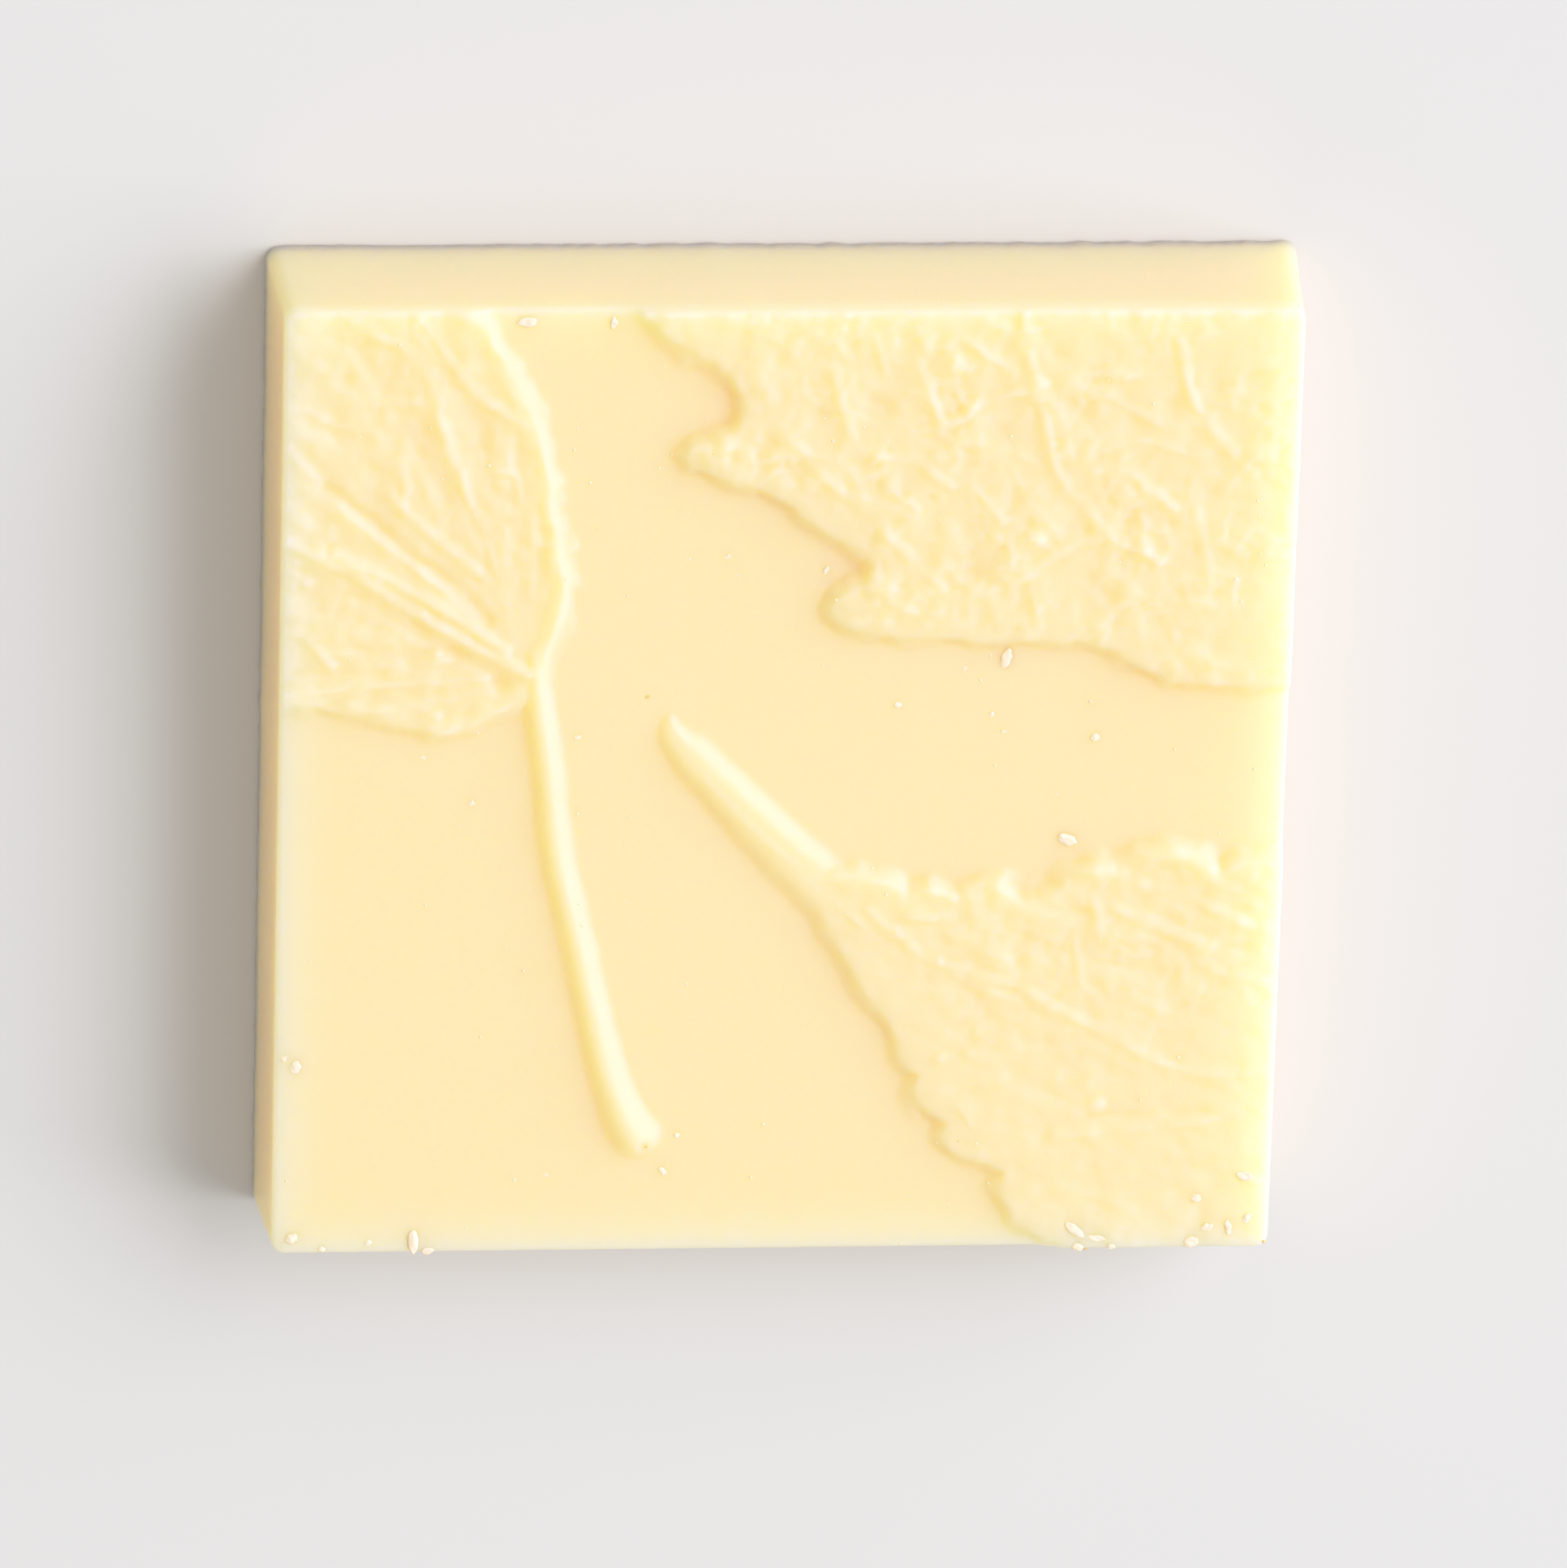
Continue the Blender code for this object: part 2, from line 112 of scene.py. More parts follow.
# Veins on the blades: rise, half width, centre line. A sunken furrow has a negative rise.
MAIN_VEINS = [
    (0.22, 0.36, [(-10.0, 4.75), (-12.5, 6.1), (-14.45, 7.3), (-16.6, 8.75), (-21.0, 11.0)]),
    (0.18, 0.28, [(-10.9, 5.75), (-12.5, 6.85), (-14.1, 7.9), (-15.7, 8.8), (-17.5, 9.7)]),
    (0.06, 0.28, [(-12.6, 7.9), (-15.1, 9.6), (-17.9, 12.2), (-20.5, 15.4)]),
    (-0.18, 0.34, [(-11.6, 6.9), (-12.5, 7.9), (-14.0, 9.2), (-15.95, 10.9), (-17.85, 12.4)]),
    (0.12, 0.28, [(-12.0, 8.9), (-13.8, 10.5), (-15.7, 12.3)]),
    (0.05, 0.26, [(-10.6, 6.0), (-11.6, 10.0), (-13.0, 13.6), (-14.2, 17.6)]),
    (0.10, 0.28, [(-10.5, 15.0), (-12.4, 16.5), (-14.4, 19.2)]),
    (0.12, 0.30, [(-14.9, 18.0), (-17.0, 19.1)]),
    (0.10, 0.28, [(1.4, 17.3), (2.0, 15.0), (2.7, 13.8), (4.5, 13.4), (6.1, 12.4)]),
    (0.10, 0.28, [(0.2, 14.1), (1.4, 12.6), (3.5, 11.2)]),
    (0.10, 0.30, [(5.6, 14.7), (7.6, 15.9), (11.0, 16.9), (13.0, 16.9)]),
    (0.12, 0.28, [(8.9, 17.8), (9.7, 14.8), (10.3, 12.7), (12.3, 10.3)]),
    (0.14, 0.28, [(14.7, 18.3), (15.5, 15.5), (17.7, 12.8)]),
    (0.10, 0.26, [(13.2, 12.7), (14.7, 11.5)]),
    (0.10, 0.28, [(15.6, 11.3), (16.3, 8.4)]),
    (0.12, 0.28, [(3.6, 10.5), (5.9, 8.2)]),
    (0.09, 0.28, [(8.6, 8.4), (11.6, 10.2), (14.3, 9.4)]),
    (0.09, 0.28, [(3.4, -5.1), (5.4, -7.0), (9.0, -8.3), (12.0, -9.9), (16.0, -12.0), (20.0, -12.1)]),
    (0.10, 0.32, [(13.1, -5.2), (16.8, -6.8)]),
    (0.10, 0.30, [(16.4, -4.9), (18.3, -5.9)]),
    (0.08, 0.30, [(12.3, -4.6), (12.4, -6.1), (13.4, -6.7)]),
    (0.08, 0.30, [(16.9, -7.7), (19.0, -8.3)]),
    (0.08, 0.30, [(11.0, -14.7), (17.2, -14.1)]),
    (0.10, 0.42, [(14.4, -3.15), (15.3, -2.9), (16.2, -3.25), (16.8, -3.75)]),
]
# Finer veins and creases between them, too small for the plain solid
FINE_VEINS = [
    (0.09, 0.22, [(-13.75, 15.3), (-13.4, 14.4), (-13.1, 13.5)]),
    (0.07, 0.20, [(-19.4, 4.0), (-14.5, 4.4), (-11.6, 4.6)]),
    (0.10, 0.22, [(-18.5, 6.2), (-17.6, 5.1)]),
    (-0.07, 0.26, [(-19.2, 9.2), (-16.0, 7.6), (-13.8, 6.1), (-11.4, 4.8)]),
    (0.10, 0.22, [(-14.6, 3.5), (-13.5, 3.0)]),
    (0.08, 0.20, [(-13.8, 17.6), (-14.6, 18.9)]),
    (0.08, 0.20, [(-13.0, 16.8), (-11.7, 15.7)]),
    (0.09, 0.20, [(-13.8, 15.5), (-13.2, 14.4)]),
    (0.08, 0.18, [(-12.7, 12.9), (-12.4, 11.7)]),
    (0.09, 0.20, [(-11.4, 13.1), (-10.7, 12.9), (-10.4, 11.7)]),
    (0.08, 0.18, [(-11.6, 9.7), (-11.2, 8.4)]),
    (0.08, 0.20, [(-16.0, 12.9), (-15.1, 13.4), (-14.8, 12.2)]),
    (0.08, 0.24, [(-18.7, 15.6), (-17.4, 14.9), (-16.0, 14.6)]),
    (0.08, 0.22, [(-16.2, 15.7), (-14.6, 15.9)]),
    (0.09, 0.20, [(4.0, 12.1), (4.8, 11.5)]),
    (0.08, 0.26, [(5.0, 16.9), (5.6, 15.1)]),
    (0.06, 0.20, [(3.7, 16.2), (4.3, 15.3)]),
    (0.08, 0.20, [(11.9, 16.1), (13.9, 15.0)]),
    (0.08, 0.20, [(8.9, 10.6), (10.2, 9.7)]),
    (0.09, 0.24, [(12.3, 9.9), (13.7, 9.7), (14.2, 9.2)]),
    (0.08, 0.20, [(9.3, 8.2), (9.7, 6.6)]),
    (0.09, 0.22, [(3.6, 8.0), (4.8, 7.2)]),
    (0.06, 0.22, [(2.4, 6.9), (4.6, 6.8), (6.6, 6.6)]),
    (0.08, 0.18, [(3.0, 18.6), (3.5, 16.9)]),
    (0.07, 0.18, [(6.4, 18.4), (8.4, 17.0)]),
    (0.07, 0.18, [(12.1, 13.9), (13.4, 14.2), (14.9, 13.8)]),
    (0.07, 0.18, [(6.9, 12.4), (8.2, 10.8), (8.6, 9.0)]),
    (0.07, 0.18, [(12.0, 8.3), (14.2, 7.4), (15.0, 6.0)]),
    (0.07, 0.18, [(17.0, 10.6), (18.6, 9.4)]),
    (0.09, 0.20, [(4.5, -5.9), (5.4, -6.9), (6.2, -7.3)]),
    (0.08, 0.18, [(4.9, -5.4), (5.9, -5.5)]),
    (-0.08, 0.20, [(7.3, -7.1), (8.7, -7.8)]),
    (0.09, 0.18, [(7.6, -6.8), (9.0, -7.3)]),
    (0.07, 0.16, [(6.6, -7.7), (7.6, -8.3), (9.3, -8.9)]),
    (0.07, 0.18, [(12.1, -4.6), (12.3, -5.6)]),
    (0.08, 0.18, [(11.5, -6.6), (11.9, -8.4)]),
    (0.07, 0.18, [(13.0, -6.1), (15.0, -7.4)]),
    (0.07, 0.16, [(2.2, -4.9), (3.3, -5.9)]),
    (-0.06, 0.22, [(12.2, -13.9), (16.8, -13.7)]),
    (0.07, 0.18, [(7.2, -13.4), (7.7, -14.2)]),
    (0.07, 0.16, [(10.5, -11.6), (12.2, -12.5)]),
    (0.10, 0.24, [(17.6, -16.2), (19.1, -16.7)]),
    (0.08, 0.20, [(12.2, -17.2), (14.2, -17.9)]),
]
# Small round bumps and hollows on the blades: centre, radius, rise
SPOTS = [
    (5.8, -4.2, 0.55, 0.14), (8.45, -4.3, 0.6, 0.14), (12.2, -3.7, 0.8, 0.12),
    (12.6, -13.4, 0.5, 0.15), (-11.1, 4.3, 0.6, -0.22), (-12.9, 5.6, 0.7, -0.12),
    (0.9, 15.3, 0.7, -0.10), (3.2, 15.6, 0.9, -0.14), (8.0, 14.6, 0.8, -0.08),
    (10.9, 15.6, 0.9, -0.10), (8.7, 11.6, 0.9, -0.08), (12.8, 10.9, 0.8, -0.09),
    (7.0, 8.9, 0.9, -0.07), (16.3, 16.4, 0.8, -0.09),
]
FINE_SPOTS = [
    (-18.6, 8.5, 0.30, 0.10), (-13.5, 5.6, 0.26, 0.10), (-13.5, 3.9, 0.45, -0.10), (-16.9, 3.5, 0.20, 0.08),
    (-17.3, 16.8, 0.55, -0.10), (-14.3, 6.9, 0.45, -0.08), (-11.3, 12.6, 0.28, 0.08),
    (6.05, 13.1, 0.26, 0.12), (12.7, 16.8, 0.22, 0.09), (11.9, 13.9, 0.22, 0.08), (12.8, 12.3, 0.20, 0.07),
    (5.1, 13.7, 0.40, -0.08), (6.3, 15.5, 0.45, -0.07), (10.0, 17.8, 0.50, -0.08), (9.4, 9.5, 0.50, -0.07),
    (8.8, 7.4, 0.45, -0.07), (5.4, 11.8, 0.40, -0.07), (2.8, 12.4, 0.35, -0.07), (11.4, 10.5, 0.40, -0.08),
    (16.3, 8.0, 0.50, -0.07), (-0.6, 17.5, 0.55, -0.08), (14.6, 15.7, 0.50, -0.07), (7.0, 8.9, 0.40, -0.05),
    (6.4, -11.4, 0.34, 0.12), (7.5, -11.2, 0.24, 0.09), (7.8, -10.3, 0.26, 0.09), (10.5, -9.3, 0.24, 0.08),
    (11.7, -8.2, 0.22, 0.08), (11.0, -12.2, 0.22, 0.09), (11.6, -13.9, 0.18, 0.09), (4.6, -6.2, 0.24, 0.08),
    (16.75, -3.5, 0.32, 0.12), (18.3, -4.0, 0.40, 0.10), (6.75, -4.65, 0.26, 0.10), (13.4, -8.6, 0.50, -0.07),
    (15.5, -9.6, 0.60, -0.06), (9.6, -6.3, 0.55, -0.06), (10.2, -17.0, 0.50, 0.06),
    (16.8, -18.3, 0.60, -0.06),
]
# The torn tip of the scalloped leaf's stem, the ridge along its upper side that runs on into the leaf, a
# fine fold beside it, and the dent in the end of the heart leaf's stem
STEM_RIDGES = [
    (0.10, 0.22, [(-4.42, 2.75), (-4.15, 2.35), (-3.85, 1.95)]),
    (0.08, 0.55, [(-3.38, 1.82), (-2.87, 1.25), (-2.27, 0.57), (-1.45, -0.27), (-0.25, -1.5), (0.9, -2.6),
                  (2.0, -3.4), (3.2, -3.85), (4.6, -4.15)]),
    (0.05, 0.16, [(-3.2, 0.5), (-2.0, -0.85), (-1.0, -1.9), (0.2, -3.0)]),
    (-0.14, 0.24, [(-5.15, -14.95), (-5.05, -15.2)]),
]


def smooth_curve(points, spacing):
    """Sample a Catmull-Rom curve through the points, about one sample for each length of spacing."""
    rows = np.array(points, dtype=float)
    rows = np.vstack([2.0 * rows[0] - rows[1], rows, 2.0 * rows[-1] - rows[-2]])
    samples = []
    for before, start, end, after in zip(rows, rows[1:], rows[2:], rows[3:]):
        count = max(1, round(float(np.linalg.norm(end[:2] - start[:2])) / spacing))
        for t in np.arange(count) / count:
            samples.append(0.5 * (2.0 * start + (end - before) * t
                                  + (2.0 * before - 5.0 * start + 4.0 * end - after) * t ** 2
                                  + (3.0 * start - before - 3.0 * end + after) * t ** 3))
    samples.append(rows[-2])
    return np.array(samples)


def nearest_on_line(places, line):
    """Distance from each place to a line, and the line's columns at the nearest spot."""
    start = line[:-1]
    run = line[1:] - start
    length_squared = np.maximum((run[:, :2] ** 2).sum(axis=1), 1e-12)
    offset = places[:, None, :] - start[None, :, :2]
    along = np.clip((offset * run[None, :, :2]).sum(axis=2) / length_squared, 0.0, 1.0)
    gap = np.linalg.norm(offset - along[:, :, None] * run[None, :, :2], axis=2)
    best = gap.argmin(axis=1)
    row = np.arange(len(places))
    return gap[row, best], start[best] + along[row, best, None] * run[best]


def inside(places, outline):
    """Whether each place lies inside a closed outline, by counting the sides crossed to its right."""
    x, y = places[:, 0, None], places[:, 1, None]
    start, end = outline, np.roll(outline, -1, axis=0)
    rising = (start[:, 1] > y) != (end[:, 1] > y)
    drop = np.where(end[:, 1] == start[:, 1], 1.0, end[:, 1] - start[:, 1])
    crossing = start[:, 0] + (y - start[:, 1]) * (end[:, 0] - start[:, 0]) / drop
    return (rising & (x < crossing)).sum(axis=1) % 2 == 1


def ease(t):
    """Smooth step from 0 to 1."""
    t = np.clip(t, 0.0, 1.0)
    return t * t * (3.0 - 2.0 * t)


def bump(t):
    """1 at 0, falling smoothly to 0 at 1."""
    return (1.0 - np.minimum(np.abs(t), 1.0) ** 2) ** 2


# Random heights have a coarse and a finer layer. The finer one has half the size and half the height.
LAYERS = 2
LAYER_FALL = 1.0
LAYER_STEP = 2.0


def grain(places, size, seed):
    """Smooth random heights from about -1 to 1, with lumps of the given size."""
    return np.array([noise.fractal(Vector((x, y, seed)), LAYER_FALL, LAYER_STEP, LAYERS)
                     for x, y in places / size])


def wandering(places, middle, amount, size, seed, low, high):
    """A value that wanders about its middle from place to place, and stays between low and high."""
    return np.clip(middle + amount * grain(places, size, seed), low, high)


# How far the cells of a net of veins are pushed out of true, and the seeds for it
NET_WANDER = 0.35
NET_SEEDS = (30.5, 60.5)


def net(places, cell, line, seed):
    """A net of fine ridges round cells of the given size: 1 on the ridges, 0 inside the cells."""
    heights = []
    for x, y in places / cell:
        wander_x, wander_y = [NET_WANDER * noise.noise(Vector((x, y, seed + more))) for more in NET_SEEDS]
        near = noise.voronoi(Vector((x + wander_x, y + wander_y, seed)))[0]
        heights.append(math.exp(-((near[1] - near[0]) * cell / line) ** 2))
    return np.array(heights)


# The heart leaf's streaks fan out from a centre. They start a little way off and grow to their full height.
STREAK_CENTRE = (-9.6, 5.0)
STREAK_CORE = 0.5
STREAK_START = 1.2
STREAK_FADE = 3.0
# Layers of streaks: height, how many lie side by side in a radian, how soon each ends, and seed
HEART_STREAKS = ((0.08, 9.0, 2.2, 3.1), (0.04, 21.0, 6.0, 12.6))
# Pebbles: height, size and seed. Nets: height, size of the cells, width of the ridges and seed.
HEART_PEBBLES = ((0.075, 0.65, 5.7),)
MAPLE_PEBBLES = ((0.11, 0.62, 27.5), (0.07, 1.3, 4.4))
MAPLE_NETS = ((0.10, 1.25, 0.32, 2.3), (0.045, 0.75, 0.20, 7.9))
MAPLE_STRENGTH = {"middle": 0.6, "amount": 0.9, "size": 2.4, "seed": 31.0, "low": 0.3, "high": 1.4}
SCALLOPED_PEBBLES = ((0.06, 0.6, 1.9),)
SCALLOPED_NETS = ((0.03, 1.1, 0.25, 8.8),)
# Streaks on the scalloped leaf: their slant, height, length, width and seed
SCALLOPED_SLANT = math.radians(-24.0)
SCALLOPED_STREAKS = (0.10, 1.7, 0.75, 6.2)
# The scalloped leaf is smoother low down and near its stem: base strength, added strength, start and length
STRONGER_UPWARDS = (0.6, 0.5, -12.0, 5.0)
STRONGER_OUTWARDS = (0.5, 0.5, 4.0, 5.0)


def pebbles(places, layers):
    """Layers of small lumps, one on top of the other."""
    return sum(height * grain(places, size, seed) for height, size, seed in layers)


def nets(places, layers):
    """Layers of nets of fine ridges, one on top of the other."""
    return sum(height * net(places, cell, line, seed) for height, cell, line, seed in layers)


def growing_along(distance, base, more, start, length):
    """A strength that grows from its base along a distance."""
    return base + more * ease((distance - start) / length)


def heart_texture(places):
    """Fine streaks that fan out from where the heart leaf's stem meets it."""
    offset = places - STREAK_CENTRE
    reach = np.maximum(np.linalg.norm(offset, axis=1), STREAK_CORE)
    angle = np.unwrap(np.arctan2(offset[:, 1], offset[:, 0]) % (2.0 * math.pi))
    texture = pebbles(places, HEART_PEBBLES)
    for height, around, outwards, seed in HEART_STREAKS:
        fan = np.column_stack([angle * around, np.log(reach) * outwards])
        texture = texture + height * grain(fan, 1.0, seed)
    return ease((reach - STREAK_START) / STREAK_FADE) * texture


def maple_texture(places):
    """The close net of small veins on the maple leaf, with pebbled cells between them."""
    return wandering(places, **MAPLE_STRENGTH) * (nets(places, MAPLE_NETS) + pebbles(places, MAPLE_PEBBLES))


def scalloped_texture(places):
    """Short slanting streaks and pimples on the scalloped leaf, weaker low down and near its stem."""
    ahead = np.array([math.cos(SCALLOPED_SLANT), math.sin(SCALLOPED_SLANT)])
    side = np.array([-ahead[1], ahead[0]])
    height, length, width, seed = SCALLOPED_STREAKS
    streaks = height * grain(np.column_stack([places @ ahead / length, places @ side / width]), 1.0, seed)
    upwards = growing_along(places[:, 1], *STRONGER_UPWARDS)
    outwards = growing_along(places[:, 0], *STRONGER_OUTWARDS)
    return upwards * outwards * (streaks + nets(places, SCALLOPED_NETS) + pebbles(places, SCALLOPED_PEBBLES))


TEXTURES = {"heart": heart_texture, "maple": maple_texture, "scalloped": scalloped_texture}
# What varies from place to place: the leaves' margins, walls and outlines, and the veins, which run high and
# low, wide and narrow, as the pressed leaf's own veins did
MARGIN_STRENGTH = {"middle": 1.0, "amount": 1.8, "size": 1.4, "seed": 9.2, "low": 0.05, "high": 2.0}
WALL_WIDTH = {"middle": 1.1, "amount": 0.7, "size": 1.1, "seed": 13.7, "low": 0.75, "high": 1.9}
OUTLINE_WANDER = {"middle": 0.0, "amount": 0.08, "size": 0.8, "seed": 71.0, "low": -0.5, "high": 0.5}
VEIN_STRENGTH = {"middle": 0.9, "amount": 1.0, "size": 1.2, "seed": 17.3, "low": 0.2, "high": 1.6}
VEIN_BREADTH = {"middle": 1.2, "amount": 0.5, "size": 0.8, "seed": 23.9, "low": 0.85, "high": 1.6}
STEM_WIDTH = {"middle": 1.0, "amount": 0.09, "size": 1.3, "seed": 41.0, "low": 0.5, "high": 1.5}
STEM_SKIN = {"middle": 0.0, "amount": 0.022, "size": 0.5, "seed": 44.0, "low": -0.5, "high": 0.5}
# Veins that rise or sink by more than this keep most of their height all along
STEADY_VEIN = 0.15
STEADY_SHARE = 0.3
# Size, height and seed of the slow waves that cooling left in the whole face
FACE_WAVES = ((7.0, 0.012, 11.3), (1.6, 0.004, 14.9))


def relief(places):
    """Height of the moulded surface above the flat of the face, and how much of each place is leaf."""
    height = np.zeros(len(places))
    blade = np.zeros(len(places))
    wall = LEAF_WALL * wandering(places, **WALL_WIDTH)
    uneven = wandering(places, **MARGIN_STRENGTH)
    for name, (outline, rise, margin) in LEAVES.items():
        loop = smooth_curve(outline, CURVE_STEP)
        gap, _ = nearest_on_line(places, np.vstack([loop, loop[:1]]))
        inset = np.where(inside(places, loop), gap, -gap) + wandering(places, **OUTLINE_WANDER)
        here = ease(1.0 + inset / wall)
        reach = np.where(inset > 0.0, MARGIN_INNER, MARGIN_OUTER)
        height += here * (rise + margin * uneven * bump(inset / reach))
        leaf = here > 0.0
        height[leaf] += here[leaf] * TEXTURES[name](places[leaf])
        blade = np.maximum(blade, here)
    strong = wandering(places, **VEIN_STRENGTH)
    broad = wandering(places, **VEIN_BREADTH)
    for rise, half, points in MAIN_VEINS + FINE_VEINS:
        gap, _ = nearest_on_line(places, smooth_curve(points, CURVE_STEP))
        share = STEADY_SHARE if abs(rise) > STEADY_VEIN else 1.0
        height += blade * rise * (1.0 + share * (strong - 1.0)) * bump(gap / (half * broad))
    for x, y, radius, rise in SPOTS + FINE_SPOTS:
        height += blade * rise * bump(np.linalg.norm(places - (x, y), axis=1) / radius)
    width = wandering(places, **STEM_WIDTH)
    skin = wandering(places, **STEM_SKIN)
    for stem, crest, fall in STEMS:
        _, nearest = nearest_on_line(places, smooth_curve(stem, CURVE_STEP))
        offset = (places - nearest[:, :2]) / (nearest[:, 2] * width)[:, None]
        from_crest = offset + crest * STEM_LEAN
        ahead = crest * (from_crest @ STEM_LEAN)
        square = np.maximum((from_crest ** 2).sum(axis=1), 1e-9)
        out = np.minimum(square / (ahead + np.sqrt(ahead ** 2 + square * (1.0 - crest ** 2))), 1.0)
        height = np.maximum(height, (nearest[:, 3] + skin) * (1.0 - out ** fall) ** STEM_FOOT)
    for rise, half, points in STEM_RIDGES:
        gap, _ = nearest_on_line(places, smooth_curve(points, CURVE_STEP))
        height += rise * bump(gap / half)
    for size, rise, seed in FACE_WAVES:
        height += rise * grain(places, size, seed)
    return height, blade


# How finely the face, its corners, its rounded edge, the sides and the back are divided, and how many
# places of the face are worked out at a time
FACE_STEP = 0.142
CORNER_CELLS = 3
ROUND_ROWS = 5
SIDE_ROWS = 8
BACK_STEP = 1.1
BATCH = 4000
# How far in from the rim the back's own points start, the flat strip beside its bevel, and how far up the
# bevel an extra row lies
BACK_INSET = 0.66
BACK_LIP = 0.35
BEVEL_SHARE = 0.3
# Height, size and seed of the waves in the poured back and of the thin burr round it, and the height and
# size of the waves in the sides
BACK_WAVE = (0.05, 6.0, 21.7)
BURR = (0.07, 0.8, 51.0)
SIDE_WAVE = (0.025, 3.0)


def rim_rows():
    """Rows round the rim, from the face down: how far out, how low, and whether they follow the relief."""
    rows = []
    for step in range(1, ROUND_ROWS + 1):
        angle = (math.pi / 2.0 - DRAFT) * step / ROUND_ROWS
        rows.append((EDGE_ROUND * math.sin(angle), EDGE_ROUND * (1.0 - math.cos(angle)), True))
    last_drop = rows[-1][1]
    for step in range(1, SIDE_ROWS + 1):
        z = (THICKNESS - last_drop) + (BACK_BEVEL - THICKNESS + last_drop) * step / SIDE_ROWS
        rows.append((EDGE_ROUND + (THICKNESS - z) * math.tan(DRAFT), z, False))
    flare = rows[-1][0]
    rows.append((flare - BACK_BEVEL * BEVEL_SHARE, BACK_BEVEL * BEVEL_SHARE, False))
    rows.append((flare - BACK_BEVEL, 0.0, False))
    rows.append((flare - BACK_BEVEL - BACK_LIP, 0.0, False))
    return rows


def face_grid():
    """The face's grid in plan: its points, each rim point's way outwards, its faces and its rim."""
    radius = CORNER_ROUND - EDGE_ROUND
    core = FACE_SIDE / 2.0 - EDGE_ROUND - radius
    middle = np.linspace(-core, core, round(2.0 * core / FACE_STEP) + 1)
    corner = radius * np.arange(1, CORNER_CELLS + 1) / CORNER_CELLS
    stations = np.concatenate([-core - corner[::-1], middle, core + corner])
    count = len(stations)

    # The grid's corners are pulled in to a round, and every rim point keeps its outward direction
    x, y = [axis.ravel() for axis in np.meshgrid(stations, stations)]
    spread = np.column_stack([x, y])
    inner = np.clip(spread, -core, core)
    reach = spread - inner
    length = np.maximum(np.linalg.norm(reach, axis=1), 1e-9)
    both = (np.abs(reach) > 0.0).all(axis=1)
    shrink = np.where(both, np.abs(reach).max(axis=1) / length, 1.0)
    plan = inner + reach * shrink[:, None]
    outward = reach / length[:, None]

    index = np.arange(count * count).reshape(count, count)
    quads = np.stack([index[:-1, :-1], index[:-1, 1:], index[1:, 1:], index[1:, :-1]], axis=-1).reshape(-1, 4)
    rim = np.concatenate([index[0, :-1], index[:-1, -1], index[-1, :0:-1], index[:0:-1, 0]])
    return plan, outward, quads.tolist(), rim


def block_mesh():
    """The closed block: a fine grid over the face, the rounded edge, the leaning sides and the back."""
    plan, outward, faces, rim = face_grid()
    height, blade = [np.concatenate(parts) for parts in zip(
        *(relief(plan[start:start + BATCH]) for start in range(0, len(plan), BATCH)))]

    # Past the rounded edge the whole rim grows outwards, so that the corners stay as tight lower down
    edge = plan[rim] + outward[rim] * EDGE_ROUND
    points = [np.column_stack([plan, THICKNESS + height])]
    imprint = [blade]
    rows = rim_rows()
    for reach_out, drop, follows in rows:
        place = plan[rim] + outward[rim] * reach_out
        if reach_out > EDGE_ROUND:
            place = edge * (FACE_SIDE / 2.0 + reach_out - EDGE_ROUND) / (FACE_SIDE / 2.0)
        if follows:
            z = THICKNESS + height[rim] - drop
        else:
            z = np.full(len(rim), drop)
            rise, size = SIDE_WAVE
            wave = rise * np.array([noise.noise(Vector(spot)) for spot in np.column_stack([place, z]) / size])
            if 0.0 < drop < 2.0 * BACK_BEVEL:
                rise, size, seed = BURR
                wave += rise * grain(place, size, seed)
            place = place + outward[rim] * wave[:, None]
        points.append(np.column_stack([place, z]))
        imprint.append(blade[rim] * (1.0 if follows else 0.0))

    around = np.arange(len(rim))
    after = np.roll(around, -1)
    upper = rim
    total = len(plan)
    for _ in rows:
        lower = total + around
        faces += np.column_stack([upper, lower, lower[after], upper[after]]).tolist()
        upper = lower
        total += len(rim)

    # The back is divided more coarsely, and never comes below the plane it lies on
    back_rim = points[-1][:, :2]
    limit = np.abs(back_rim).max() - BACK_INSET
    steps = np.linspace(-limit, limit, round(2.0 * limit / BACK_STEP) + 1)
    back = np.array([(px, py) for px in steps for py in steps])
    spots = np.vstack([back_rim, back])
    sides = [(int(i), int(j)) for i, j in zip(around, after)]
    _, _, triangles, _, _, _ = delaunay_2d_cdt(spots.tolist(), sides, [], 1, 1e-6)
    depth, size, seed = BACK_WAVE
    hollow = depth * (0.5 + 0.5 * np.clip(grain(back, size, seed), -1.0, 1.0))
    points.append(np.column_stack([back, hollow]))
    imprint.append(np.zeros(len(back)))
    first = total - len(rim)
    for triangle in triangles:
        a, b, c = [first + corner_index for corner_index in triangle]
        faces.append([a, c, b])

    mesh = bpy.data.meshes.new("chocolate_square_dressed")
    mesh.from_pydata((np.vstack(points) * MM).tolist(), [], faces)
    attribute = mesh.attributes.new("imprint", "FLOAT", "POINT")
    attribute.data.foreach_set("value", np.concatenate(imprint).astype(np.float32))
    mesh.shade_smooth()
    return mesh


